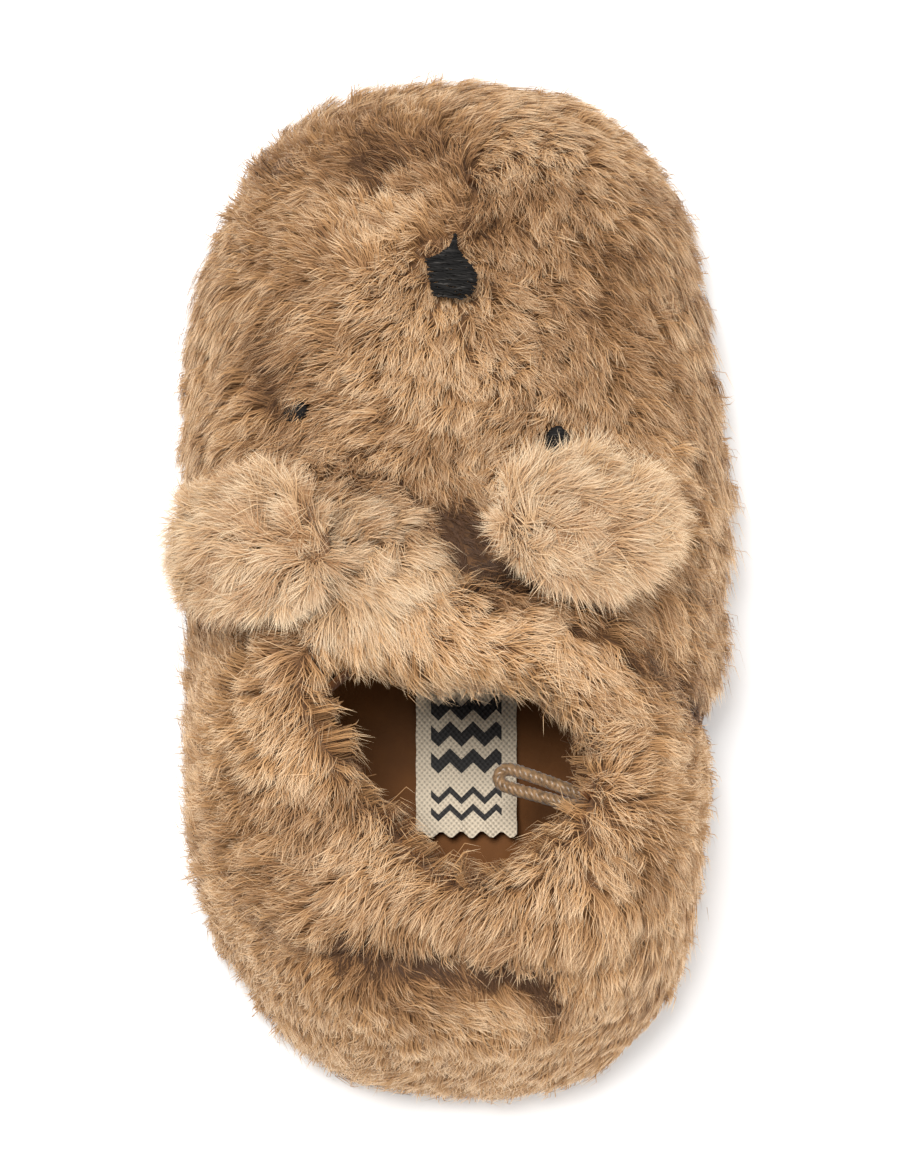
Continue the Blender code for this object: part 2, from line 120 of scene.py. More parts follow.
# Heart of the foot room, which tells the lining's faces from the outer ones
ROOM_HEIGHT = 0.018
ROOM_BACK = -0.036
ROOM_FRONT = 0.045

# Piles: name, rear end along the slipper for those of the upper, and number of hairs
UPPER_PILES = (
    ("fur_toe", 0.034, 60000), ("fur_head", -0.006, 60000), ("fur_quarter", -0.050, 46000),
    ("fur_heel", -1.0, 38000),
)
CUFF_HAIRS = 55000
EAR_HAIRS = 24000
FOLD_HAIRS = 8000
CUFF_SEED = 11
EAR_SEED = 21
FOLD_SEED = 31


class FurSettings(bpy.types.PropertyGroup):
    hair_width: bpy.props.FloatProperty(
        name="Hair width", description="Width of a hair at its root",
        default=0.00013, min=0.00005, max=0.001, unit="LENGTH", precision=5)
    hair_run: bpy.props.FloatProperty(
        name="Hair run", description="How far a lying hair reaches along the hide",
        default=0.0050, min=0.0005, max=0.03, unit="LENGTH", precision=4)
    wisp_spacing: bpy.props.FloatProperty(
        name="Wisp spacing", description="Distance between the wisps that hairs close up to",
        default=0.0017, min=0.0003, max=0.02, unit="LENGTH", precision=4)
    lock_spacing: bpy.props.FloatProperty(
        name="Lock spacing", description="Distance between the locks that wisps lean to",
        default=0.0048, min=0.0005, max=0.04, unit="LENGTH", precision=4)
    wisp_pull: bpy.props.FloatProperty(
        name="Wisp pull", description="How far the hair tips close up to their wisp",
        default=0.50, min=0.0, max=1.0, subtype="FACTOR")
    lock_pull: bpy.props.FloatProperty(
        name="Lock pull", description="How far the wisps close up to their lock",
        default=0.10, min=0.0, max=1.0, subtype="FACTOR")
    ruffle: bpy.props.FloatProperty(
        name="Ruffle", description="How far the nap wanders from its combing",
        default=0.30, min=0.0, max=3.2, unit="ROTATION")
    root_colour: bpy.props.FloatVectorProperty(
        name="Roots", description="Colour of the pile at its roots",
        default=(0.30, 0.14, 0.05), subtype="COLOR", min=0.0, max=1.0)
    middle_colour: bpy.props.FloatVectorProperty(
        name="Middle", description="Colour halfway up the pile",
        default=(0.58, 0.325, 0.14), subtype="COLOR", min=0.0, max=1.0)
    tip_colour: bpy.props.FloatVectorProperty(
        name="Tips", description="Colour of the pile at its tips",
        default=(0.98, 0.71, 0.44), subtype="COLOR", min=0.0, max=1.0)
    ear_middle_colour: bpy.props.FloatVectorProperty(
        name="Ear middle", description="Colour halfway up the pile of the ears",
        default=(0.66, 0.42, 0.22), subtype="COLOR", min=0.0, max=1.0)
    ear_tip_colour: bpy.props.FloatVectorProperty(
        name="Ear tips", description="Colour of the ears at the tips of the pile",
        default=(0.93, 0.73, 0.49), subtype="COLOR", min=0.0, max=1.0)


class TrimSettings(bpy.types.PropertyGroup):
    thread_colour: bpy.props.FloatVectorProperty(
        name="Thread", description="Colour of the stitched nose and eyes",
        default=(0.0075, 0.0068, 0.0062), subtype="COLOR", min=0.0, max=1.0)
    thread_width: bpy.props.FloatProperty(
        name="Thread width", description="Width of one satin stitch",
        default=0.00042, min=0.0001, max=0.002, unit="LENGTH", precision=5)
    # The lining's dark brown is partly the cloth's own colour and partly painted shade of the foot room; the
    # footbed shares it.
    lining_colour_with_shade: bpy.props.FloatVectorProperty(
        name="Lining", description="Colour of the lining and the footbed",
        default=(0.145, 0.051, 0.009), subtype="COLOR", min=0.0, max=1.0)
    ribbon_colour: bpy.props.FloatVectorProperty(
        name="Ribbon", description="Colour of the woven ribbon",
        default=(0.80, 0.67, 0.50), subtype="COLOR", min=0.0, max=1.0)
    stripe_colour: bpy.props.FloatVectorProperty(
        name="Stripes", description="Colour of the plain zigzag stripes woven into the ribbon",
        default=(0.035, 0.032, 0.030), subtype="COLOR", min=0.0, max=1.0)
    cord_width: bpy.props.FloatProperty(
        name="Cord width", description="Width of the satin loop's cord",
        default=0.0018, min=0.0005, max=0.01, unit="LENGTH", precision=4)
    cord_colour: bpy.props.FloatVectorProperty(
        name="Cord", description="Colour of the satin loop",
        default=(0.28, 0.165, 0.080), subtype="COLOR", min=0.0, max=1.0)
    sole_colour: bpy.props.FloatVectorProperty(
        name="Sole", description="Colour of the rubber sole",
        default=(0.20, 0.115, 0.055), subtype="COLOR", min=0.0, max=1.0)


class StageSettings(bpy.types.PropertyGroup):
    camera_height: bpy.props.FloatProperty(
        name="Camera elevation", description="Angle of the camera over the floor",
        default=CAMERA_ELEVATION, unit="ROTATION")
    camera_distance: bpy.props.FloatProperty(
        name="Camera distance", description="From the camera to the slipper",
        default=1.4, min=0.2, max=10.0, unit="LENGTH")
    lens: bpy.props.FloatProperty(
        name="Lens", description="Focal length in millimetres",
        default=292.5, min=20.0, max=600.0)
    frame_shift: bpy.props.FloatVectorProperty(
        name="Frame shift", description="Shift of the frame in shares of its height",
        default=(0.0, -0.0123), size=2)
    floor_colour: bpy.props.FloatVectorProperty(
        name="Floor", description="Colour of the pale floor",
        default=(0.90, 0.90, 0.90), subtype="COLOR", min=0.0, max=1.0)


# Meshes and arrays


def add_object(name, mesh, material, slot, *nodes):
    """Object at the origin that rides on the slipper, takes a finish and stands for those nodes."""
    obj = bpy.data.objects.new(name, mesh)
    bpy.context.scene.collection.objects.link(obj)
    mesh.materials.append(material)
    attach(obj, BODY)
    if nodes:
        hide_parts(*nodes)
    return obj


def merged_copy(node):
    """Bmesh of a frame node with its triangles joined up."""
    mesh = bmesh.new()
    mesh.from_mesh(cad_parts[node].data)
    bmesh.ops.remove_doubles(mesh, verts=mesh.verts, dist=MERGE_DISTANCE)
    return mesh


def mesh_of(name, work, smooth=True):
    mesh = bpy.data.meshes.new(name)
    work.to_mesh(mesh)
    work.free()
    if smooth:
        mesh.shade_smooth()
    return mesh


def faces_room(face):
    """Whether a face of the upper looks towards the foot room."""
    centre = face.calc_center_median()
    heart = Vector((0.0, min(max(centre.y, ROOM_BACK), ROOM_FRONT), ROOM_HEIGHT))
    return face.normal.dot(heart - centre) > 0


def split_upper(work):
    """Faces of the lining, which are the largest joined group that looks inwards, and all the others."""
    inwards = {face for face in work.faces if faces_room(face)}
    lining = set()
    while inwards:
        start = inwards.pop()
        group = {start}
        edge_of_group = [start]
        while edge_of_group:
            face = edge_of_group.pop()
            for edge in face.edges:
                for beside in edge.link_faces:
                    if beside in inwards:
                        inwards.remove(beside)
                        group.add(beside)
                        edge_of_group.append(beside)
        if len(group) > len(lining):
            lining = group
    return list(lining), [face for face in work.faces if face not in lining]


def ease(value):
    """Soft step from 0 to 1, for one number or an array."""
    value = np.clip(value, 0.0, 1.0)
    return value * value * (3 - 2 * value)


def smooth_step(value, low, high):
    share = min(1.0, max(0.0, (value - low) / (high - low)))
    return share * share * (3 - 2 * share)


def unit(vectors):
    return vectors / np.maximum(np.linalg.norm(vectors, axis=-1, keepdims=True), LEAST_LENGTH)


def along_surface(vectors, normals):
    """Unit vectors with what stands out of the surface taken away."""
    out = np.sum(vectors * normals, axis=1, keepdims=True)
    return unit(vectors - out * normals)


def nearest_of(heads, points):
    """Index of the nearest head for each point."""
    near = KDTree(len(heads))
    for i, head in enumerate(heads.tolist()):
        near.insert(head, i)
    near.balance()
    return np.array([near.find(point)[1] for point in points.tolist()])


def wander(points, size):
    """Slow random drift from -1 to 1 over patches of that size."""
    return np.array([noise.noise(Vector(point) / size) * WANDER_GAIN for point in points])


def drop_on(tree, x, y, top):
    """Point of a surface straight under a place, or nothing."""
    return tree.ray_cast(Vector((x, y, top + DROP_HEIGHT)), DOWN)[0]


# Materials


def new_material(name, colour, roughness):
    material = bpy.data.materials.new(name)
    material.use_nodes = True
    shader = material.node_tree.nodes["Principled BSDF"]
    shader.inputs["Base Color"].default_value = (*colour, 1.0)
    shader.inputs["Roughness"].default_value = roughness
    return material, material.node_tree, shader


def shade(colour, factor):
    return tuple(min(1.0, channel * factor) for channel in colour)


def add_ramp(tree, source, stops):
    """Colour ramp whose stops are pairs of a place and a colour."""
    ramp = tree.nodes.new("ShaderNodeValToRGB")
    elements = ramp.color_ramp.elements
    while len(elements) < len(stops):
        elements.new(0.5)
    for element, (place, colour) in zip(elements, stops):
        element.position = place
        element.color = (*colour, 1.0)
    tree.links.new(source, ramp.inputs["Fac"])
    return ramp.outputs["Color"]


def add_tones(tree, source, colour, stops):
    """Ramp of one colour, whose stops are pairs of a place and a brightness."""
    return add_ramp(tree, source, [(place, shade(colour, factor)) for place, factor in stops])


def paint(tree, shader, colour):
    tree.links.new(colour, shader.inputs["Base Color"])


def add_bump(tree, shader, height, strength, distance):
    bump = tree.nodes.new("ShaderNodeBump")
    bump.inputs["Strength"].default_value = strength
    bump.inputs["Distance"].default_value = distance
    tree.links.new(height, bump.inputs["Height"])
    tree.links.new(bump.outputs["Normal"], shader.inputs["Normal"])


def add_noise(tree, scale, detail, stretch=(1.0, 1.0, 1.0)):
    """Noise on object coordinates, at a scale in cells a metre."""
    coordinates = tree.nodes.new("ShaderNodeTexCoord")
    mapping = tree.nodes.new("ShaderNodeMapping")
    mapping.inputs["Scale"].default_value = stretch
    cloud = tree.nodes.new("ShaderNodeTexNoise")
    cloud.inputs["Scale"].default_value = scale
    cloud.inputs["Detail"].default_value = detail
    tree.links.new(coordinates.outputs["Object"], mapping.inputs["Vector"])
    tree.links.new(mapping.outputs["Vector"], cloud.inputs["Vector"])
    return cloud.outputs["Fac"]


def object_axes(tree):
    """Outputs X, Y and Z of the object's own coordinates."""
    coordinates = tree.nodes.new("ShaderNodeTexCoord")
    parts = tree.nodes.new("ShaderNodeSeparateXYZ")
    tree.links.new(coordinates.outputs["Object"], parts.inputs["Vector"])
    return parts.outputs


def join_values(tree, operation, *values):
    """Result of a sum or other operation on sockets and plain numbers."""
    node = tree.nodes.new("ShaderNodeMath")
    node.operation = operation
    for socket, value in zip(node.inputs, values):
        if isinstance(value, float):
            socket.default_value = value
        else:
            tree.links.new(value, socket)
    return node.outputs["Value"]


def add_bands(tree, source, pitch):
    """Sine bands of one pitch across a coordinate, from -1 to 1."""
    return join_values(tree, "SINE", join_values(tree, "MULTIPLY", source, 2 * math.pi / pitch))


def add_range(tree, source, low, high):
    """Share from 0 to 1 of the way between two values."""
    share = tree.nodes.new("ShaderNodeMapRange")
    share.inputs["From Min"].default_value = low
    share.inputs["From Max"].default_value = high
    tree.links.new(source, share.inputs["Value"])
    return share.outputs["Result"]


def mix_colours(tree, factor, first, second):
    mix = tree.nodes.new("ShaderNodeMix")
    mix.data_type = "RGBA"
    tree.links.new(factor, mix.inputs["Factor"])
    tree.links.new(first, mix.inputs["A"])
    tree.links.new(second, mix.inputs["B"])
    return mix.outputs["Result"]


def pile_material(name, root, middle, tip, darkest):
    """Hair colour by its own map: up runs from root to tip, across holds the tone, and the lowest tones are
    painted crease shade.
    """
    material, tree, shader = new_material(name, middle, roughness=0.62)
    place = tree.nodes.new("ShaderNodeUVMap")
    place.uv_map = "OFBake"
    parts = tree.nodes.new("ShaderNodeSeparateXYZ")
    tree.links.new(place.outputs["UV"], parts.inputs["Vector"])
    tone, way = parts.outputs["X"], parts.outputs["Y"]
    dark = add_tones(tree, way, root, ((0.0, 0.6), (0.5, 0.65 * darkest), (1.0, darkest)))
    stops = ((0.0, root), (0.5, shade(middle, 0.9)), (0.8, shade(tip, 0.85)), (1.0, tip))
    light = add_ramp(tree, way, stops)
    # The dark brown kept for the lowest tones is painted shade in the creases.
    shadow = add_tones(tree, way, CREASE_SHADE_COLOUR, ((0.0, 0.4), (1.0, 1.0)))
    plain = mix_colours(tree, add_range(tree, tone, CREASE_SHADE_TONES, 1.0), dark, light)
    paint(tree, shader, mix_colours(tree, add_range(tree, tone, 0.0, CREASE_SHADE_TONES), shadow, plain))
    shader.inputs["Specular IOR Level"].default_value = 0.28
    shader.inputs["Sheen Weight"].default_value = 0.05
    return material


def hide_material(colour):
    """Woven backing that the pile grows from, seen only deep between the hairs; its brown is partly the
    backing's own colour and partly painted shade there.
    """
    material, tree, shader = new_material("hide", colour, roughness=0.95)
    cloud = add_noise(tree, scale=900.0, detail=3.0)
    paint(tree, shader, add_tones(tree, cloud, colour, ((0.3, 0.6), (0.7, 1.3))))
    add_bump(tree, shader, cloud, strength=0.5, distance=0.0003)
    return material


def lining_material(name, colour):
    """Brushed brown cloth with a fine rib."""
    material, tree, shader = new_material(name, colour, roughness=0.75)
    cloud = add_noise(tree, scale=90.0, detail=3.0)
    paint(tree, shader, add_tones(tree, cloud, colour, ((0.35, 0.82), (0.65, 1.15))))
    rib = add_noise(tree, scale=900.0, detail=3.0, stretch=(1.0, 1.0, 3.0))
    add_bump(tree, shader, rib, strength=0.35, distance=0.0003)
    shader.inputs["Specular IOR Level"].default_value = 0.3
    shader.inputs["Sheen Weight"].default_value = 0.03
    return material


def glinting_thread_material(name, colour):
    """Embroidery thread with painted glints: a few of its fibres are painted far brighter than the rest."""
    material, tree, shader = new_material(name, colour, roughness=0.7)
    shader.inputs["Specular IOR Level"].default_value = 0.12
    fibres = add_noise(tree, scale=1800.0, detail=2.0, stretch=(0.15, 1.0, 1.0))
    # The brightest stop of the ramp paints glints on the fibres.
    paint(tree, shader, add_tones(tree, fibres, colour, ((0.35, 0.6), (0.6, 1.6), (0.72, 7.0))))
    add_bump(tree, shader, fibres, strength=0.5, distance=0.0002)
    return material


def satin_material(colour):
    """Silky cord with fine fibres."""
    material, tree, shader = new_material("satin_strands", colour, roughness=0.34)
    fibres = add_noise(tree, scale=1500.0, detail=3.0)
    paint(tree, shader, add_tones(tree, fibres, colour, ((0.3, 0.45), (0.7, 1.5))))
    add_bump(tree, shader, fibres, strength=0.3, distance=0.0002)
    shader.inputs["Anisotropic"].default_value = 0.5
    shader.inputs["Sheen Weight"].default_value = 0.3
    return material


def ribbon_material(colour, stripe):
    """Plain woven tape: checked weave, with dark zigzag stripes across it."""
    material, tree, shader = new_material("woven_ribbon", colour, roughness=0.85)
    axes = object_axes(tree)
    across = add_bands(tree, axes["X"], RIBBON_PITCH)
    along = add_bands(tree, axes["Y"], RIBBON_PITCH * RIBBON_WEFT)
    weave = join_values(tree, "MULTIPLY_ADD", join_values(tree, "MULTIPLY", across, along), 0.5, 0.5)
    cloth = add_tones(tree, weave, colour, ((0.0, 0.55), (0.35, 0.9), (0.7, 1.12)))
    dark = add_tones(tree, weave, stripe, ((0.0, 0.6), (1.0, 1.8)))
    place = join_values(tree, "ADD", axes["Y"], join_values(tree, "PINGPONG", axes["X"], RIBBON_ZIGZAG))
    bars = add_ramp(tree, add_range(tree, place, RIBBON_BARS_FROM, RIBBON_BARS_TO), RIBBON_BARS)
    bars.node.color_ramp.interpolation = "CONSTANT"
    aside = join_values(tree, "ABSOLUTE", join_values(tree, "SUBTRACT", axes["X"], RIBBON_MIDDLE))
    inside = join_values(tree, "LESS_THAN", aside, RIBBON_BAR_HALF)
    paint(tree, shader, mix_colours(tree, join_values(tree, "MULTIPLY", bars, inside), cloth, dark))
    add_bump(tree, shader, weave, strength=0.6, distance=0.0004)
    return material


def rubber_material(colour):
    """Matt brown rubber with a fine moulded grid underneath."""
    material, tree, shader = new_material("sole_rubber", colour, roughness=0.72)
    axes = object_axes(tree)
    across = add_bands(tree, axes["X"], TREAD_PITCH)
    along = add_bands(tree, axes["Y"], TREAD_PITCH)
    grain = add_noise(tree, scale=1400.0, detail=3.0)
    height = join_values(tree, "MULTIPLY_ADD", grain, 0.35, join_values(tree, "MAXIMUM", across, along))
    paint(tree, shader, add_tones(tree, grain, colour, ((0.3, 0.8), (0.7, 1.15))))
    add_bump(tree, shader, height, strength=0.5, distance=0.0005)
    return material


# Hides, the surfaces that the fur grows from


class Hide:
    """Triangles of a hide as arrays, with a normal and a pile height at each corner."""

    def __init__(self, work, piles):
        bmesh.ops.triangulate(work, faces=work.faces)
        work.normal_update()
        work.faces.index_update()
        self.work = work
        self.tree = BVHTree.FromBMesh(work)
        self.points = np.array([vertex.co for vertex in work.verts])
        self.normals = np.array([vertex.normal for vertex in work.verts])
        self.piles = np.array(piles)
        self.triangles = np.array([[corner.index for corner in face.verts] for face in work.faces])
        corners = self.points[self.triangles]
        cross = np.cross(corners[:, 1] - corners[:, 0], corners[:, 2] - corners[:, 0])
        self.areas = np.linalg.norm(cross, axis=1) / 2
        self.centres = corners.mean(axis=1)
        self.depths = self.piles[self.triangles].min(axis=1)

    def scatter(self, count, there, dice):
        """Random roots on the triangles that are there: points, normals and pile heights."""
        chance = self.areas * there
        picked = dice.choice(len(chance), size=count, p=chance / chance.sum())
        a, b = dice.random((2, count))
        flip = a + b > 1
        a[flip], b[flip] = 1 - a[flip], 1 - b[flip]
        shares = np.stack([1 - a - b, a, b], axis=1)[:, :, None]
        corners = self.triangles[picked]
        points = (self.points[corners] * shares).sum(axis=1)
        normals = unit((self.normals[corners] * shares).sum(axis=1))
        piles = (self.piles[corners] * shares[:, :, 0]).sum(axis=1)
        return points, normals, piles

    def follow(self, places):
        """Nearest points of the hide to those places, and its smooth normals there."""
        found = [self.tree.find_nearest(place) for place in places.tolist()]
        feet = np.array([hit[0] for hit in found])
        corners = self.triangles[[hit[2] for hit in found]]
        spots = self.points[corners]
        gaps = np.linalg.norm(spots - feet[:, None, :], axis=2)
        shares = 1 / np.maximum(gaps, NEAREST_CORNER)
        normals = (self.normals[corners] * shares[:, :, None]).sum(axis=1)
        return feet, unit(normals)


def lining_copy():
    """Bmesh of the upper's lining alone."""
    work = merged_copy("upper")
    bmesh.ops.delete(work, geom=split_upper(work)[1], context="FACES")
    return work


def relaxed_copy(node, rounds):
    """Copy of a node with its locks smoothed away, because hairs make them now."""
    work = merged_copy(node)
    for _ in range(rounds):
        bmesh.ops.smooth_vert(work, verts=work.verts, factor=0.5, use_axis_x=True, use_axis_y=True,
                              use_axis_z=True)
    return work


def make_upper_hide():
    """Outer side of the upper, drawn in to where the pile's roots are."""
    work = relaxed_copy("upper", rounds=5)
    bmesh.ops.delete(work, geom=split_upper(work)[0], context="FACES")
    lining = BVHTree.FromBMesh(lining_copy())
    piles = []
    for vertex in work.verts:
        foot, _, _, away = lining.find_nearest(vertex.co)
        depth = max(0.0, away - CLOTH_WALL)
        root = CLOTH_WALL + ROOT_SHARE * depth
        vertex.co = foot + (vertex.co - foot) * (root / max(away, LEAST_AWAY))
        piles.append((1 - ROOT_SHARE) * depth + TIPS_PROUD)
    return Hide(work, piles)


def lean_cuff(work):
    """Lets the roll sag into the opening at some headings and spread at others."""
    for vertex in work.verts:
        away = Vector((vertex.co.x, vertex.co.y + OPENING_SETBACK, 0.0))
        inner = smooth_step(away.length, LEAN_OUTER, LEAN_INNER)
        depth = drop = 0.0
        for heading, spread, inwards, down in LEANS:
            turn = math.atan2(away.y, away.x) - math.radians(heading)
            turn = math.atan2(math.sin(turn), math.cos(turn))
            share = inner * math.exp(-(turn / math.radians(spread))**2)
            depth += inwards * share
            drop += down * share
        vertex.co -= away.normalized() * depth
        vertex.co.z -= drop


def make_cuff_hide():
    """The rolled cuff, drawn in towards the cloth that it is sewn to and let sag."""
    work = relaxed_copy("collar_cuff", rounds=3)
    seat = BVHTree.FromBMesh(merged_copy("upper"))
    piles = []
    for vertex in work.verts:
        foot, _, _, away = seat.find_nearest(vertex.co)
        vertex.co = foot + (vertex.co - foot) * ROOT_SHARE
        piles.append(max(CUFF_LEAST_PILE, (1 - ROOT_SHARE) * away + TIPS_PROUD))
    lean_cuff(work)
    return Hide(work, piles)


def make_ear_hide(node):
    """An ear drawn in all round by the depth of its pile."""
    work = relaxed_copy(node, rounds=2)
    work.normal_update()
    normals = [vertex.normal.copy() for vertex in work.verts]
    for vertex, normal in zip(work.verts, normals):
        vertex.co -= normal * EAR_INSET
    return Hide(work, [EAR_INSET + TIPS_PROUD] * len(work.verts))


def make_fold_hide():
    """Root of the outer ear, folded over towards the middle of the head."""
    work = bmesh.new()
    bmesh.ops.create_icosphere(work, subdivisions=4, radius=1.0)
    turn = Euler((0.0, 0.0, FOLD_TURN)).to_matrix().to_4x4()
    place = Matrix.Translation(FOLD_PLACE) @ turn @ Matrix.Diagonal((*FOLD_SIZE, 1.0))
    bmesh.ops.transform(work, matrix=place, verts=work.verts)
    return Hide(work, [FOLD_PILE] * len(work.verts))


# How the nap lies

# Combing strokes as the camera sees them: millimetres across, millimetres up, heading in degrees
STROKES = (
    (-28, 70, 70), (-18, 75, 50), (-9, 80, 55), (1, 75, 20), (10, 80, 12), (16, 70, -15), (20, 75, -5),
    (30, 70, -40), (-33, 60, 110), (-24, 62, 150), (-9, 60, 130), (-18, 60, 150), (15, 60, -80),
    (20, 65, -50), (30, 60, -38), (36, 56, -35), (-24, 55, 175), (-14, 55, 120), (-33, 50, 235),
    (25, 50, -53), (34, 50, -42), (-39, 45, 262), (-28, 41, 245), (-18, 41, 225), (20, 45, -88),
    (30, 41, -60), (40, 38, -60), (-14, 37, 228), (-4, 42, -92), (5, 37, -55), (10, 37, -15),
    (1, 34, -90), (20, 35, -85), (-33, 29, 227), (-18, 29, 200), (-9, 24, 238), (-4, 27, -110),
    (6, 27, -120), (39, 27, -72), (30, 27, -70), (-30, 20, 215), (-2, 14, -80), (-14, 12, 30),
    (-8, 12, -17), (-4, 8, -50), (-9, 3, -35), (1, 6, -55), (36, 12, -60), (40, 0, -62), (-41, 5, 190),
    (-14, -2, -65), (-9, -5, -50), (1, -2, -12), (10, -2, -8), (20, -2, -38), (1, -8, -50),
    (10, -8, -38), (18, -8, -60), (25, -7, -45), (27, -12, -8), (31, -17, -15), (26, -22, 40),
    (32, -27, 40), (25, -33, -70), (35, -36, -65), (36, -15, -75), (42, -22, -75), (20, -44, -115),
    (10, -45, -120), (-4, -46, -105), (30, -46, -90), (-23, -7, 197), (-33, -8, 100), (-24, -17, 225),
    (-33, -17, 127), (-18, -17, 230), (-40, -17, 120), (-33, -27, 155), (-23, -27, 250),
    (-18, -32, 262), (-34, -37, 160), (-24, -37, 150), (-29, -42, 185), (-14, -42, 215),
    (-28, -51, 217), (-18, -51, 243), (-18, -58, 262), (-24, -61, 205), (-4, -56, -30), (1, -57, -45),
    (10, -56, -65), (20, -60, 222), (28, -56, 240), (15, -66, 225), (1, -70, 222), (-9, -66, 210),
    (-14, -70, -80), (34, -45, -80),
)
STROKE_REACH = 4.6
SIDE_DROOP = 0.9
STANDING_RUN = 0.25
SWIRL_HEART = 0.004
SWIRL_RUN = 0.6
SWIRL_SHAKE = 0.0028
SWIRL_SEED = 3


def seen(points):
    """Millimetres across and up in the camera's view."""
    across = points[:, 0] / MM
    up = (points @ np.array(CAMERA_UP)) / MM
    return across, up


def comb_by_strokes(points, normals):
    """Nap that follows the nearest combing strokes and hangs down the sides, and how far it lies over.

    Where strokes part, the hair between them stands up.
    """
    across, up = seen(points)
    strokes = np.array(STROKES, dtype=float)
    squares = (across[:, None] - strokes[:, 0])**2 + (up[:, None] - strokes[:, 1])**2
    nearest = squares.min(axis=1, keepdims=True)
    weights = np.exp((nearest - squares) / (2 * STROKE_REACH**2))
    weights /= weights.sum(axis=1, keepdims=True)
    headings = np.radians(strokes[:, 2])
    plane = np.stack([weights @ np.cos(headings), weights @ np.sin(headings)], axis=1)
    lie = STANDING_RUN + (1 - STANDING_RUN) * np.linalg.norm(plane, axis=1)
    plane = unit(plane)
    nap = plane[:, :1] * np.array([1.0, 0.0, 0.0]) + plane[:, 1:] * np.array(CAMERA_UP)
    nap[:, 2] -= SIDE_DROOP * (1 - np.clip(normals[:, 2], 0, 1))
    return nap, lie


def comb_from(swirl):
    """Nap that spreads from a swirl, at whose heart it stands up."""
    def comb(points, normals):
        shake = np.random.default_rng(SWIRL_SEED).normal(0, SWIRL_SHAKE, points.shape)
        away = points - np.array(swirl) + shake
        lie = SWIRL_RUN + (1 - SWIRL_RUN) * ease(np.linalg.norm(away, axis=1) / SWIRL_HEART)
        return away, lie
    return comb


# Patches that make the pile darker or lighter: the darker ones paint shade in hollows, over the nose and
# under the ears, and some lighter ones paint light along the toe's edge. Millimetres across, millimetres up,
# reach, change of tone, change of length
PATCHES = (
    (-24, 66, 6, -0.5, 0.0), (-13, 65, 5, -0.68, -0.1), (-3, 64, 5, -0.62, -0.1), (8, 64, 6, -0.25, 0.0),
    (-10, 79, 6, 0.4, 0.1), (6, 77, 6, 0.25, 0.1), (-32, 62, 5, 0.3, 0.1), (-8, 36, 8, 0.1, 0.0),
    (3, 30, 6, 0.15, 0.0), (-17, 51, 5, -0.25, 0.0), (-20, 37, 3.5, -0.3, 0.6), (-29, 50, 6, -0.25, 0.0),
    (24, 55, 10, -0.3, 0.0), (15, 47, 6, -0.3, 0.0), (22, 34, 8, -0.25, 0.0), (31, 34, 6, -0.15, 0.0),
    (-24, 33, 4, -0.6, -0.2), (-22, 22, 6, -0.3, 0.0), (4, 17, 6, 0.1, 0.0), (2, 7, 4, -0.8, -0.3),
    (-9, 5, 5, -0.15, 0.0), (-13, -3, 6, 0.6, 0.1), (-3, -6, 6, 0.6, 0.0), (10, -8, 6, 0.6, 0.0),
    (21, -1, 4, 0.1, 0.1), (32, -5, 5, 0.0, 0.1), (41, 3, 5, 0.1, -0.1), (30, -3, 6, -0.2, 0.1),
    (36, -17, 5, -0.2, -0.4), (-34, -4, 5, -0.3, -0.1), (-30, -33, 6, -0.25, 0.0), (-22, -38, 5, -0.15, 0.0),
    (-21, -20, 4, 0.25, 0.2), (-36, -20, 5, 0.2, 0.0), (-12, -44, 5, 0.1, 0.0), (2, -46, 5, 0.1, -0.1),
    (14, -45, 5, 0.1, 0.1), (-14, -52, 4, -0.5, -0.2), (-6, -53, 4, -0.5, -0.2), (3, -56, 5, -0.35, -0.1),
    (-22, -49, 4, -0.4, -0.2), (31, -26, 6, -0.1, 0.0), (5, -68, 9, 0.4, 0.35), (-22, -61, 8, 0.35, 0.1),
    (28, -62, 6.5, 0.15, -0.6), (-31, -60, 5, 0.0, -0.3), (38, 48, 6, 0.0, 0.2), (-37, 50, 5, 0.0, 0.15),
    (0, 74, 7, 0.3, 0.0), (14, 76, 8, 0.3, 0.0), (-22, 75, 7, 0.3, -0.2), (28, 69, 7, 0.3, -0.3),
    (43, 36, 5, 0.0, -0.2), (42, 2, 5, -0.35, -0.25), (41, -27, 5, 0.0, -0.2), (-44, 11, 5, 0.0, -0.2),
    (-27, 60, 5, -0.3, 0.0),
)

# Painted shade along the creases of the plush, which darkens the hairs there: reach, change of tone, change
# of length, then places across and up in millimetres
SHADED_CREASES = (
    (1.8, -1.3, -0.2, ((-14, -48.5), (-6, -49.5), (1, -51), (7, -51.5), (11, -52.5), (15, -57))),
    (1.6, -0.7, -0.3, ((-13, 17.5), (-7, 16.5), (-3, 13.5))),
    (2.3, -1.5, -0.3, ((-1, 12), (2, 8), (5, 4), (10, 2.5))),
    (1.3, -1.0, -0.4, ((19, -3), (24, -6), (31, -11), (36, -17))),
    (1.3, -0.8, -0.3, ((-35, -2.5), (-28, -2), (-21, -4.5))),
    (1.2, -0.8, -0.3, ((-24, 34), (-23, 28))),
)


def crease_shade_changes(points):
    """Painted shade along the creases, as changes of tone, and changes of length there."""
    spots = np.stack(seen(points), axis=1)
    tone = np.zeros(len(points))
    length = np.zeros(len(points))
    for reach, darker, shorter, line in SHADED_CREASES:
        nearest = np.full(len(points), np.inf)
        for start, end in zip(np.array(line[:-1], dtype=float), np.array(line[1:], dtype=float)):
            way = end - start
            share = np.clip((spots - start) @ way / (way @ way), 0, 1)
            gap = np.linalg.norm(spots - start - share[:, None] * way, axis=1)
            nearest = np.minimum(nearest, gap)
        weight = np.exp(-nearest**2 / (2 * reach**2))
        tone += darker * weight
        length += shorter * weight
    return tone, length


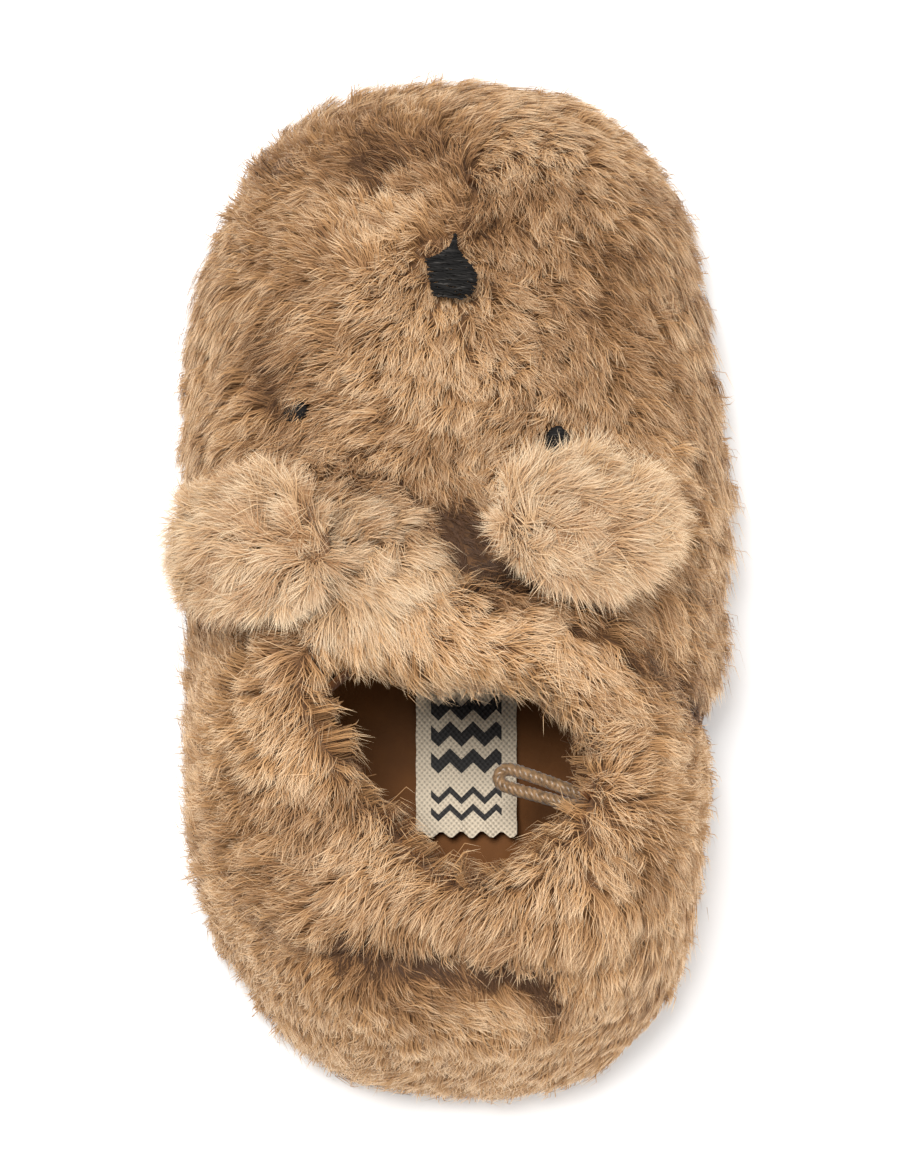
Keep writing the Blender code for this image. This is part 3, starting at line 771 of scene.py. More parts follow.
def patch_changes(points):
    """Changes of tone, painted shade and light among them, and changes of length that the patches bring."""
    across, up = seen(points)
    patches = np.array(PATCHES)
    squares = (across[:, None] - patches[:, 0])**2 + (up[:, None] - patches[:, 1])**2
    weights = np.exp(-squares / (2 * patches[:, 2]**2))
    return weights @ patches[:, 3], weights @ patches[:, 4]


# Growing the fur

# Root, bend and tip of a hair: share of its length, of the pile's height and of its run along the hide
HAIR_WAY = (0.0, 0.48, 1.0)
HAIR_RISE = (0.0, 0.86, 1.0)
HAIR_RUN = (0.0, 0.38, 1.0)
HAIR_TAPER = (1.0, 0.85)
# Corners of a hair: two at the root, two at the bend and one at the tip, as a quad and a triangle
HAIR_CORNERS = 5
HAIR_LOOPS = (0, 2, 3, 1, 2, 4, 3)
HAIR_STARTS = (0, 4)
HAIR_HEIGHTS = tuple(HAIR_WAY[ring] for ring in (0, 0, 1, 1, 2))
SOFT_SHADING = 0.65
# The hairs' map: least and most tone, and where roots and tips lie
TONE_LIMITS = (0.01, 0.99)
MAP_EDGE = 0.02
MAP_SPAN = 0.96
# Spreads of the random draws, and ranges from least to most
LOCK_TURN = 0.17
LOCK_TONE = 0.10
LOCK_LENGTH = (0.88, 1.12)
WISP_TURN = 0.19
WISP_TONE = 0.10
WISP_LENGTH = (0.80, 1.14)
WISP_CURL = 0.16
WISP_RISE = (0.55, 1.25)
HAIR_LENGTH = (0.75, 1.10)
HAIR_HEIGHT = (0.7, 1.1)
HAIR_CURL = 0.15
HAIR_PULL = (0.6, 1.15)
HAIR_ROLL = (-0.9, 0.9)
HAIR_BREADTH = (0.7, 1.25)
HAIR_TONE = 0.26
LONG_HAIRS = 0.07
LONG_HAIR_RISE = 1.35
# How the pile drifts in tone and in lie, how much painted light its sides get, and how it hugs the hide,
# strays, stands and sags
FEWEST_HEADS = 8
RUFFLE_SIZE = 0.016
MIDDLE_TONE = 0.60
TONE_DRIFT = 0.17
TONE_DRIFT_SIZE = 0.008
TONE_DRIFT_SHIFT = 7
# Painted light: wisps that face sideways get lighter tones, as if lit from the side.
PAINTED_SIDE_LIGHT = 0.5
LEAST_ROOM = 0.05
HUG = 0.65
STRAY = 0.16
STANDING_STRAY = 0.35
STANDING_RISE = 0.6
GATHER_BEND = 1.3
STIFF_SAG = 0.04
LOWEST_TIP = 0.0004


def head_count(area, spacing):
    """Number of locks or wisps on an area."""
    return max(FEWEST_HEADS, int(area / spacing**2))


def lay_wisps(hide, there, fur, comb, dice):
    """Wisps as arrays with a row each: root, the lock's root, nap, lie, tone with its painted shade and
    light, length, curl and rise.
    """
    area = (hide.areas * there).sum()
    locks, _, _ = hide.scatter(head_count(area, fur.lock_spacing), there, dice)
    lock_turn = dice.normal(0, LOCK_TURN, len(locks))
    lock_tone = dice.normal(0, LOCK_TONE, len(locks))
    lock_length = dice.uniform(*LOCK_LENGTH, len(locks))

    wisps, normals, _ = hide.scatter(head_count(area, fur.wisp_spacing), there, dice)
    count = len(wisps)
    home = nearest_of(locks, wisps)
    turn = wander(wisps, RUFFLE_SIZE) * fur.ruffle + lock_turn[home] + dice.normal(0, WISP_TURN, count)
    nap, lie = comb(wisps, normals)
    nap = along_surface(nap, normals)
    across = np.cross(normals, nap)
    nap = nap * np.cos(turn)[:, None] + across * np.sin(turn)[:, None]
    tone = MIDDLE_TONE + TONE_DRIFT * wander(wisps + TONE_DRIFT_SHIFT, TONE_DRIFT_SIZE) + lock_tone[home]
    tone += dice.normal(0, WISP_TONE, count)
    length = lock_length[home] * dice.uniform(*WISP_LENGTH, count)
    # Patches and creases paint shade and light into the wisps' tone.
    patch_tone_and_shade, patch_length = patch_changes(wisps)
    crease_shade, crease_length = crease_shade_changes(wisps)
    # Painted side light: the more a wisp faces sideways, the lighter its tone.
    rim = 1 - np.clip(normals[:, 2], 0, 1)
    return {
        "root": wisps,
        "lock": locks[home],
        "nap": nap,
        "lie": lie,
        "tone": tone + patch_tone_and_shade + crease_shade + PAINTED_SIDE_LIGHT * rim,
        "length": length * (1 + patch_length + crease_length),
        "curl": dice.normal(0, WISP_CURL, count),
        "rise": dice.uniform(*WISP_RISE, count),
    }


def grow(name, hide, count, there, looks, seed, reach=1.0, hug=HUG, stray=STRAY):
    """Mesh of hairs: each is a tapered ribbon that leans with its wisp, and the wisp with its lock."""
    fur, material, slot, comb, avoid = looks
    dice = np.random.default_rng(seed)
    wisps = lay_wisps(hide, there, fur, comb, dice)
    roots, normals, piles = hide.scatter(count, there, dice)
    wisp = nearest_of(wisps["root"], roots)
    room = avoid(roots, normals, piles, wisps["nap"][wisp] * fur.hair_run * reach)
    kept = room > LEAST_ROOM
    roots, normals, piles, wisp, room = (values[kept] for values in (roots, normals, piles, wisp, room))
    count = len(roots)
    own = {key: values[wisp] for key, values in wisps.items()}

    standing = 1 - own["lie"]
    loose = (stray + STANDING_STRAY * standing)[:, None]
    heading = along_surface(own["nap"] + loose * dice.normal(0, 1, (count, 3)), normals)
    sideways = np.cross(normals, heading)
    length = fur.hair_run * own["length"] * dice.uniform(*HAIR_LENGTH, count) * room * reach
    height = piles * own["rise"] * own["length"] * dice.uniform(*HAIR_HEIGHT, count) * room
    height *= 1 + STANDING_RISE * standing
    height *= np.where(dice.random(count) < LONG_HAIRS, LONG_HAIR_RISE, 1.0)
    curl = own["curl"] + dice.normal(0, HAIR_CURL, count)
    to_wisp = (own["root"] - roots) * (fur.wisp_pull * dice.uniform(*HAIR_PULL, count))[:, None]
    gather = to_wisp + (own["lock"] - roots) * fur.lock_pull
    gather -= np.sum(gather * normals, axis=1, keepdims=True) * normals

    rings = [roots]
    for way, up, run in zip(HAIR_WAY[1:], HAIR_RISE[1:], HAIR_RUN[1:]):
        straight = roots + heading * (length * run * own["lie"])[:, None]
        feet, facing = hide.follow(straight)
        base = straight * (1 - hug) + feet * hug
        outwards = unit(normals * (1 - hug) + facing * hug)
        point = base + outwards * (height * up)[:, None] + gather * way**GATHER_BEND
        point = point + sideways * (length * curl * way**2)[:, None]
        point[:, 2] -= STIFF_SAG * length * way**2
        point[:, 2] = np.maximum(point[:, 2], LOWEST_TIP)
        rings.append(point)
    roll = dice.uniform(*HAIR_ROLL, count)[:, None]
    flat = sideways * np.cos(roll) + normals * np.sin(roll)
    half = fur.hair_width * dice.uniform(*HAIR_BREADTH, count)[:, None] / 2
    corners = []
    for point, taper in zip(rings, HAIR_TAPER):
        corners += [point - flat * half * taper, point + flat * half * taper]
    corners.append(rings[-1])
    tones = own["tone"] + dice.normal(0, HAIR_TONE, count)
    # The lowest share of the tones is left for the painted shade of creases.
    tones = np.clip(CREASE_SHADE_TONES + (1 - CREASE_SHADE_TONES) * tones, *TONE_LIMITS)
    mesh = hair_mesh(name, np.stack(corners, axis=1), tones, normals)
    return add_object(name, mesh, material, slot)


def hair_mesh(name, corners, tones, normals):
    """Mesh of hairs, with a map whose X is the hair's tone, painted shade and light included, and whose Y is
    the way up the hair.
    """
    count = len(corners)
    loops = (np.arange(count)[:, None] * HAIR_CORNERS + np.array(HAIR_LOOPS)).ravel()
    starts = (np.arange(count)[:, None] * len(HAIR_LOOPS) + np.array(HAIR_STARTS)).ravel()
    ways = np.tile(np.array(HAIR_HEIGHTS)[list(HAIR_LOOPS)], count)
    mesh = bpy.data.meshes.new(name)
    mesh.vertices.add(count * HAIR_CORNERS)
    mesh.vertices.foreach_set("co", corners.astype(np.float32).ravel())
    mesh.loops.add(len(loops))
    mesh.loops.foreach_set("vertex_index", loops.astype(np.int32))
    mesh.polygons.add(len(starts))
    mesh.polygons.foreach_set("loop_start", starts.astype(np.int32))
    mesh.update(calc_edges=True)
    table = mesh.uv_layers.new(name="OFBake")
    places = np.stack([np.repeat(tones, len(HAIR_LOOPS)), MAP_EDGE + MAP_SPAN * ways], axis=1)
    table.uv.foreach_set("vector", places.astype(np.float32).ravel())
    mesh.validate()
    mesh.shade_smooth()
    own = np.empty(count * HAIR_CORNERS * 3, dtype=np.float32)
    mesh.vertex_normals.foreach_get("vector", own)
    soft = np.repeat(normals, HAIR_CORNERS, axis=0) * SOFT_SHADING
    mesh.normals_split_custom_set_from_vertices(unit(own.reshape(-1, 3) * (1 - SOFT_SHADING) + soft))
    return mesh


def node_trees(nodes):
    return [BVHTree.FromBMesh(merged_copy(node)) for node in nodes]


def room_for_hair(stitched, covering, hides=()):
    """Function for the share of its length that each hair has room for, from 0 to 1."""
    stitches = node_trees(stitched)
    covers = node_trees(covering) + list(hides)

    def room(roots, normals, piles, runs):
        shares = []
        for root, normal, pile, run in zip(roots.tolist(), normals.tolist(), piles.tolist(), runs.tolist()):
            share = 1.0
            if stitches:
                middle = step_along(root, normal, STITCH_LOOK * pile)
                away = min(tree.find_nearest(middle)[3] for tree in stitches)
                share = SHORTEST + (1 - SHORTEST) * smooth_step(away, BARE_MARGIN, SHORT_MARGIN)
                if away < STITCH_NEAR:
                    share = min(share, free_run(stitches, middle, run))
            if covers and is_covered(covers, root, normal, pile):
                if is_covered(covers, step_along(root, run, COVER_LOOK), normal, pile):
                    share = 0.0
            shares.append(share)
        return np.array(shares)
    return room


def step_along(start, way, share):
    return [first + along * share for first, along in zip(start, way)]


def free_run(trees, start, run):
    """Share of a hair's run that it goes before it hides a stitched patch from the camera."""
    for share in FREE_STEPS:
        place = Vector(step_along(start, run, share))
        if any(tree.ray_cast(place, CAMERA_WAY)[0] is not None for tree in trees):
            return share
    return 1.0


def is_covered(trees, start, direction, pile):
    """Whether another piece lies straight over a root."""
    return any(tree.ray_cast(start, direction, pile + COVER_GAP)[0] is not None for tree in trees)


def add_padded_hide(name, hide, backing, slot, *nodes):
    """Cloth that a pile stands on."""
    shell = add_object(name, mesh_of(name, hide.work), backing, slot, *nodes)


class SLIPPER_OT_fur(bpy.types.Operator):
    """Grows the pile of the upper, the cuff and the ears, with the hide under it"""
    bl_idname = "slipper.fur"
    bl_label = "Fur"

    def execute(self, context):
        fur = context.scene.slipper_fur
        brown = pile_material("brown_pile", fur.root_colour, fur.middle_colour, fur.tip_colour,
                              BROWN_DARKEST)
        pale = pile_material("pale_pile", fur.root_colour, fur.ear_middle_colour, fur.ear_tip_colour,
                             PALE_DARKEST)
        backing = hide_material(HIDE_AND_SHADE_COLOUR)

        upper = make_upper_hide()
        add_object("upper_hide", mesh_of("upper_hide", upper.work), backing, "upper_fur", "upper")
        cuff = make_cuff_hide()
        under = room_for_hair(("nose", "eye_inner"), ("ear_inner", "ear_outer"), [cuff.tree])
        looks = (fur, brown, "upper_fur", comb_by_strokes, under)
        along = upper.centres[:, 1]
        front = 1.0
        for seed, (name, rear, count) in enumerate(UPPER_PILES):
            grow(name, upper, count, (along > rear) & (along <= front), looks, seed)
            front = rear

        add_padded_hide("cuff_hide", cuff, backing, "cuff_fur", "collar_cuff")
        looks = (fur, brown, "cuff_fur", comb_by_strokes, room_for_hair((), ()))
        grow("fur_cuff", cuff, CUFF_HAIRS, cuff.depths > 0, looks, CUFF_SEED)

        for seed, (node, base) in enumerate(EAR_SWIRLS, EAR_SEED):
            ear = make_ear_hide(node)
            add_padded_hide(node + "_hide", ear, backing, "ear_fur", node)
            looks = (fur, pale, "ear_fur", comb_from(base), room_for_hair(("eye_inner",), ()))
            grow("fur_" + node, ear, EAR_HAIRS, ear.depths > 0, looks, seed, EAR_REACH, EAR_HUG, EAR_STRAY)

        fold = make_fold_hide()
        add_padded_hide("ear_fold_hide", fold, backing, "ear_fur")
        looks = (fur, pale, "ear_fur", comb_by_strokes, room_for_hair((), ()))
        upward = fold.centres[:, 2] > FOLD_PLACE[2]
        grow("fur_ear_fold", fold, FOLD_HAIRS, upward, looks, FOLD_SEED)
        return {"FINISHED"}


class SLIPPER_OT_lining(bpy.types.Operator):
    """Smooth lining of the foot room"""
    bl_idname = "slipper.lining"
    bl_label = "Lining"

    def execute(self, context):
        # The lining's colour holds painted shade of the foot room.
        cloth = lining_material("lining_cloth", context.scene.slipper_trims.lining_colour_with_shade)
        add_object("lining", mesh_of("lining", lining_copy()), cloth, "insole")
        return {"FINISHED"}


# Trims

TRIM_SEED = 5
# Satin stitches: rows' pitch and a thread's radius in thread widths, then sizes of their unevenness
STITCH_POINTS = 14
STITCH_SAMPLES = 60
STITCH_LEAST = 3
NOSE_ROW_PITCH = 0.75
EYE_ROW_PITCH = 0.8
THREAD_RADIUS = 0.55
THREAD_END = 0.6
STITCH_PROUD = 0.00016
STITCH_DIP = Vector((0.0, 0.0, 0.0003))
ROW_WANDER = 0.00008
ROW_ROUGHNESS = 0.00006
NOSE_RAGGED = 0.05
EYE_RAGGED = 0.1
MOST_RAGGED = 0.0004
EYE_SUNK = 0.0021
# The nose from its flat rear edge to its point: share of its length, then shares of half its width
NOSE_SHARES = (0.0, 0.08, 0.20, 0.40, 0.54, 0.65, 0.80, 1.0)
NOSE_OUTER_SIDE = (0.45, 0.62, 0.66, 0.80, 0.97, 0.58, 0.14, 0.04)
NOSE_INNER_SIDE = (0.62, 0.88, 0.98, 1.0, 0.78, 0.48, 0.12, 0.04)
# The loop: where it is sewn on, its heading, half the gap of its legs, their length, and how it sags
LOOP_ROOT = Vector((0.0258, -0.0379, 0.0281))
LOOP_HEADING = math.radians(159.9)
LOOP_HALF = 0.00135
LOOP_STRAIGHT = 0.0186
LOOP_REACH = 0.021
LOOP_SAG = 0.003
LOOP_CLOSE = 0.55
LOOP_PARTS = 6
LOOP_STEPS = 150
LOOP_STRANDS = 4
LOOP_TWIST_PITCH = 0.0034
STRAND_OFFSET = 0.27
STRAND_RADIUS = 0.30
# The ribbon's weave, its zigzag stripes from rear to front, and how it lies
RIBBON_PITCH = 0.00078
RIBBON_WEFT = 1.15
RIBBON_MIDDLE = 0.0024
RIBBON_BAR_HALF = 0.0052
RIBBON_ZIGZAG = 0.0017
RIBBON_BARS_FROM = -0.0385
RIBBON_BARS_TO = -0.0080
BLACK = (0.0, 0.0, 0.0)
WHITE = (1.0, 1.0, 1.0)
RIBBON_BARS = (
    (0.0, BLACK), (0.17, WHITE), (0.205, BLACK), (0.255, WHITE), (0.29, BLACK), (0.41, WHITE), (0.48, BLACK),
    (0.54, WHITE), (0.61, BLACK), (0.67, WHITE), (0.74, BLACK), (0.88, WHITE), (0.92, BLACK),
)
RIBBON_CELLS = (30, 84)
RIBBON_PROUD = 0.00025
RIBBON_TRIM = 0.0015
RIBBON_INSET = (0.0003, 0.0004)
RIBBON_REAR = 0.12
RIBBON_RIPPLE = 0.00035
RIBBON_RIPPLES = 3.2
RIBBON_CUT = 0.0005
RIBBON_CUTS = 5.0
RIBBON_SELVEDGE = 0.00004
RIBBON_SELVEDGES = 9
RIBBON_SWELL = 0.00010
RIBBON_SWELLS = 160
# The footbed's dents: place, half width, half length and depth
FOOTBED_DENTS = (((0.0, -0.044), 0.016, 0.018, 0.0008), ((0.0, 0.034), 0.020, 0.018, 0.0007))
FOOTBED_SWELL = 0.0003
FOOTBED_SWELLS = 90
RIBBON_BED = 0.006
# The sole's tread, and the stitches round its side
TREAD_PITCH = 0.0031
SEAM_PITCH = 0.0032
SEAM_SPAN = (0.08, 0.80)
SEAM_BULGE = (-0.002, 0.0012, 0.002, 0.0012, -0.002)
SEAM_WANDER = 0.00004
SEAM_HEIGHT = 0.0020
SEAM_SPREAD = 0.036
SEAM_START = 0.12
SEAM_RAYS = 240
SEAM_ROUNDS = 8
SEAM_INSET = 0.97
SEAM_THREAD = 0.00032
SEAM_COLOUR = (0.36, 0.22, 0.11)


def threads_mesh(name, paths, radius):
    """Mesh of round threads along those paths, thinner at their ends."""
    curve = bpy.data.curves.new(name, "CURVE")
    curve.dimensions = "3D"
    curve.bevel_depth = radius
    curve.bevel_resolution = 1
    curve.use_fill_caps = True
    for path in paths:
        spline = curve.splines.new("POLY")
        spline.points.add(len(path) - 1)
        for i, (place, point) in enumerate(zip(spline.points, path)):
            place.co = (*point, 1.0)
            place.radius = THREAD_END if i in (0, len(path) - 1) else 1.0
    holder = bpy.data.objects.new(name, curve)
    mesh = bpy.data.meshes.new_from_object(holder)
    mesh.name = name
    bpy.data.objects.remove(holder)
    bpy.data.curves.remove(curve)
    mesh.shade_smooth()
    return mesh


def patch_to_stitch(node, tilt):
    """An embroidered patch's corners, its surface, and the ways along and across its stitches."""
    low, high = (Vector(corner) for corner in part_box(node))
    along = Vector((math.cos(tilt), math.sin(tilt), 0.0))
    forth = Vector((-math.sin(tilt), math.cos(tilt), 0.0))
    return low, high, BVHTree.FromBMesh(merged_copy(node)), along, forth


def nose_stitches(width, tilt, dice):
    """Rows of stitches that make the nose: nearly flat behind, round-sided, with a thin point in front."""
    low, high, top, along, forth = patch_to_stitch("nose", tilt)
    middle = (low + high) / 2
    half_width = (high.x - low.x) / 2
    length = high.y - low.y
    rows = int(length / (width * NOSE_ROW_PITCH))
    paths = []
    for row in range(rows):
        share = row / (rows - 1)
        first = -half_width * float(np.interp(share, NOSE_SHARES, NOSE_OUTER_SIDE))
        last = half_width * float(np.interp(share, NOSE_SHARES, NOSE_INNER_SIDE))
        path = []
        for step in range(STITCH_POINTS):
            place = middle + forth * ((share - 0.5) * length + dice.normal(0, ROW_WANDER))
            place += along * (first + (last - first) * step / (STITCH_POINTS - 1))
            hit = drop_on(top, place.x, place.y, high.z)
            if hit is None:
                hit = top.find_nearest(Vector((place.x, place.y, high.z)))[0]
            path.append(Vector((place.x, place.y, hit.z + STITCH_PROUD + dice.normal(0, ROW_ROUGHNESS))))
        ragged = along * NOSE_RAGGED * (last - first)
        path[0] = path[0] - ragged * dice.uniform(0.0, 1.0) - STITCH_DIP
        path[-1] = path[-1] + ragged * dice.uniform(0.0, 1.0) - STITCH_DIP
        paths.append(path)
    return paths


def eye_stitches(node, width, tilt, dice):
    """Rows of stitches that lie across an eye."""
    low, high, top, along, forth = patch_to_stitch(node, tilt)
    middle = (low + high) / 2
    reach = (high - low).length / 2
    pitch = width * EYE_ROW_PITCH
    paths = []
    for row in range(int(2 * reach / pitch)):
        shift = -reach + (row + 0.5) * pitch
        path = []
        for step in range(STITCH_SAMPLES):
            start = middle + forth * shift + along * (-reach + 2 * reach * step / (STITCH_SAMPLES - 1))
            hit = drop_on(top, start.x, start.y, high.z)
            if hit:
                path.append(hit + Vector((0, 0, STITCH_PROUD)))
        if len(path) > STITCH_LEAST:
            chosen = [path[round(i * (len(path) - 1) / (STITCH_POINTS - 1))] for i in range(STITCH_POINTS)]
            ragged = min(MOST_RAGGED, EYE_RAGGED * (path[-1] - path[0]).length)
            chosen[0] = chosen[0] - along * dice.uniform(0.0, ragged) - STITCH_DIP
            chosen[-1] = chosen[-1] + along * dice.uniform(0.0, ragged) - STITCH_DIP
            paths.append(chosen)
    return paths


def path_marks(points):
    """Distances of a path's points from its start."""
    gaps = np.linalg.norm(np.diff(np.array(points), axis=0), axis=1)
    return np.concatenate([[0.0], np.cumsum(gaps)])


def along_path(points, marks, places):
    """Points of a path at those distances from its start."""
    points = np.array(points)
    return np.stack([np.interp(places, marks, points[:, axis]) for axis in range(3)], axis=1)


def evened(points, steps, rounds):
    """Path through the points at even spacing, smoothed, and its length."""
    marks = path_marks(points)
    path = along_path(points, marks, np.linspace(0.0, marks[-1], steps))
    for _ in range(rounds):
        path[1:-1] = (path[:-2] + 2 * path[1:-1] + path[2:]) / 4
    return path, marks[-1]


def loop_line():
    """Middle line of the loop's cord: out, round the fold and back, sagging under its own weight."""
    forth = Vector((math.cos(LOOP_HEADING), math.sin(LOOP_HEADING), 0.0))
    beside = Vector((-forth.y, forth.x, 0.0))
    legs = [LOOP_STRAIGHT * step / LOOP_PARTS for step in range(LOOP_PARTS + 1)]
    places = [(leg, LOOP_HALF) for leg in legs]
    for step in range(1, LOOP_PARTS):
        angle = math.pi / 2 - math.pi * step / LOOP_PARTS
        places.append((LOOP_STRAIGHT + LOOP_HALF * math.cos(angle), LOOP_HALF * math.sin(angle)))
    places += [(leg, -LOOP_HALF) for leg in reversed(legs)]
    line = []
    for out, aside in places:
        sag = Vector((0.0, 0.0, LOOP_SAG * (out / LOOP_REACH)**2))
        close = LOOP_CLOSE + (1 - LOOP_CLOSE) * smooth_step(out, 0.0, LOOP_STRAIGHT)
        line.append(LOOP_ROOT + forth * out + beside * aside * close - sag)
    return line


def cord_strands(diameter):
    """Strands that wind round the loop's middle line."""
    path, length = evened(loop_line(), LOOP_STEPS, rounds=6)
    ways = unit(np.gradient(path, axis=0))
    up = along_surface(np.tile([0.0, 0.0, 1.0], (LOOP_STEPS, 1)), ways)
    side = np.cross(ways, up)
    turns = np.linspace(0, 2 * math.pi * length / LOOP_TWIST_PITCH, LOOP_STEPS)
    strands = []
    for strand in range(LOOP_STRANDS):
        angle = turns + 2 * math.pi * strand / LOOP_STRANDS
        ring = up * np.cos(angle)[:, None] + side * np.sin(angle)[:, None]
        strands.append((path + ring * diameter * STRAND_OFFSET).tolist())
    return strands


def ribbon_mesh(name):
    """Woven tape that lies on the footbed, rippled, with a wavy cut at its rear end."""
    low, high = (Vector(corner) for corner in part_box("label"))
    node = BVHTree.FromBMesh(merged_copy("label"))
    work = bmesh.new()
    bmesh.ops.create_grid(work, x_segments=RIBBON_CELLS[0], y_segments=RIBBON_CELLS[1], size=0.5)
    low.y += RIBBON_TRIM
    width, length = high.x - low.x, high.y - low.y
    for vertex in work.verts:
        share_x, share_y = vertex.co.x + 0.5, vertex.co.y + 0.5
        x = low.x + share_x * width
        y = low.y + share_y * length
        inner_x = min(max(x, low.x + RIBBON_INSET[0]), high.x - RIBBON_INSET[0])
        inner_y = min(max(y, low.y + RIBBON_INSET[1]), high.y - RIBBON_INSET[1])
        seat = drop_on(node, inner_x, inner_y, high.z)
        rear = ease(1 - share_y / RIBBON_REAR)
        ripple = math.sin(share_x * 2 * math.pi * RIBBON_RIPPLES) * rear
        selvedge = math.sin(share_y * 2 * math.pi * RIBBON_SELVEDGES) * RIBBON_SELVEDGE
        swell = RIBBON_SWELL * noise.noise(Vector((x, y, 0.0)) * RIBBON_SWELLS)
        vertex.co.x = x + selvedge * (2 * share_x - 1)
        vertex.co.y = y + RIBBON_CUT * rear * math.sin(share_x * 2 * math.pi * RIBBON_CUTS)
        vertex.co.z = seat.z + RIBBON_PROUD + RIBBON_RIPPLE * (1 + ripple) * rear + swell
    return mesh_of(name, work), (width, length)


def footbed_mesh(name):
    """Padded footbed with a soft rim and the light dents that a heel and the ball of a foot leave."""
    work = merged_copy("insole")
    bmesh.ops.triangulate(work, faces=work.faces)
    bmesh.ops.subdivide_edges(work, edges=work.edges, cuts=2, use_grid_fill=True)
    work.normal_update()
    lifts = [max(0.0, vertex.normal.z) for vertex in work.verts]
    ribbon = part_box("label")
    for vertex, lift in zip(work.verts, lifts):
        x, y = vertex.co.x, vertex.co.y
        beside = max(ribbon[0][0] - x, x - ribbon[1][0], ribbon[0][1] - y, y - ribbon[1][1], 0.0)
        depth = sum(dent * math.exp(-((x - at[0]) / wide)**2 - ((y - at[1]) / long)**2)
                    for at, wide, long, dent in FOOTBED_DENTS)
        swell = FOOTBED_SWELL * noise.noise(Vector((x, y, 0.0)) * FOOTBED_SWELLS)
        vertex.co.z -= (depth - swell) * lift * smooth_step(beside, 0.0, RIBBON_BED)
    return mesh_of(name, work)


def seam_line():
    """Points round the sole's side in the middle of its groove, which rises with the sole."""
    tree = BVHTree.FromBMesh(merged_copy("outsole"))
    ring = []
    for step in range(SEAM_RAYS):
        angle = 2 * math.pi * step / SEAM_RAYS
        target = Vector((0.0, SEAM_SPREAD * math.sin(angle), SEAM_HEIGHT))
        start = target + Vector((math.cos(angle), math.sin(angle), 0.0)) * SEAM_START
        rise = SEAM_HEIGHT
        for _ in range(SEAM_ROUNDS):
            start.z = target.z = rise
            hit = tree.ray_cast(start, target - start)[0]
            under = Vector((hit.x * SEAM_INSET, hit.y * SEAM_INSET, -DROP_HEIGHT))
            foot = tree.ray_cast(under, -DOWN)[0]
            rise = SEAM_HEIGHT + (foot.z if foot else 0.0)
        ring.append(hit)
    return ring + ring[:1]


def seam_stitches(dice):
    """Short stitches that lie along the groove round the sole's side."""
    ring = seam_line()
    marks = path_marks(ring)
    paths = []
    for stitch in range(int(marks[-1] / SEAM_PITCH)):
        shares = (stitch + np.linspace(*SEAM_SPAN, len(SEAM_BULGE))) * SEAM_PITCH
        path = []
        for spot, bulge in zip(along_path(ring, marks, shares), SEAM_BULGE):
            point = Vector(spot) * (1 + bulge)
            point.z = spot[2] + dice.normal(0, SEAM_WANDER)
            path.append(point)
        paths.append(path)
    return paths


class SLIPPER_OT_trims(bpy.types.Operator):
    """Footbed, ribbon, loop, face and sole"""
    bl_idname = "slipper.trims"
    bl_label = "Trims"

    def execute(self, context):
        trims = context.scene.slipper_trims
        dice = np.random.default_rng(TRIM_SEED)
        thread = glinting_thread_material("embroidery_thread", trims.thread_colour)
        # The footbed takes the lining's colour, with its painted shade.
        cloth = lining_material("footbed_cloth", trims.lining_colour_with_shade)
        footbed = add_object("footbed", footbed_mesh("footbed"), cloth, "insole", "insole")
        seam = threads_mesh("seam_stitches", seam_stitches(dice), SEAM_THREAD)
        add_object("seam_stitches", seam, glinting_thread_material("seam_thread", SEAM_COLOUR), "outsole")
        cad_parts["outsole"].material_slots[0].material = rubber_material(trims.sole_colour)
        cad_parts["eye_inner"].material_slots[0].material = thread

        width = trims.thread_width
        nose = threads_mesh("nose_stitches", nose_stitches(width, STITCH_TILT, dice), width * THREAD_RADIUS)
        add_object("nose_stitches", nose, thread, "embroidery", "nose")
        for node, sunk, replaced in (("eye_inner", 0.0, ()), ("eye_outer", EYE_SUNK, ("eye_outer",))):
            paths = eye_stitches(node, width, STITCH_TILT, dice)
            paths = [[point + DOWN * sunk for point in path] for path in paths]
            eye = threads_mesh(node + "_stitches", paths, width * THREAD_RADIUS)
            add_object(node + "_stitches", eye, thread, "embroidery", *replaced)

        mesh, flat = ribbon_mesh("woven_ribbon")
        woven = ribbon_material(trims.ribbon_colour, trims.stripe_colour)
        ribbon = add_object("woven_ribbon", mesh, woven, "ribbon", "label")

        cord = trims.cord_width
        loop = threads_mesh("satin_loop", cord_strands(cord), cord * STRAND_RADIUS)
        add_object("satin_loop", loop, satin_material(trims.cord_colour), "satin_cord", "hang_loop")
        return {"FINISHED"}


# Stage

FLOOR_SIZE = 3.0
AIM = Vector((0.0, 0.0, 0.02))
WORLD_COLOUR = (1.0, 0.99, 0.98, 1.0)
WORLD_LIGHT = 0.84
# Lamps: name, place, width and power
LAMPS = (
    ("overhead", (-0.25, 0.10, 1.5), 0.55, 21.5),
    ("side", (0.9, -0.5, 0.9), 0.9, 5.0),
)


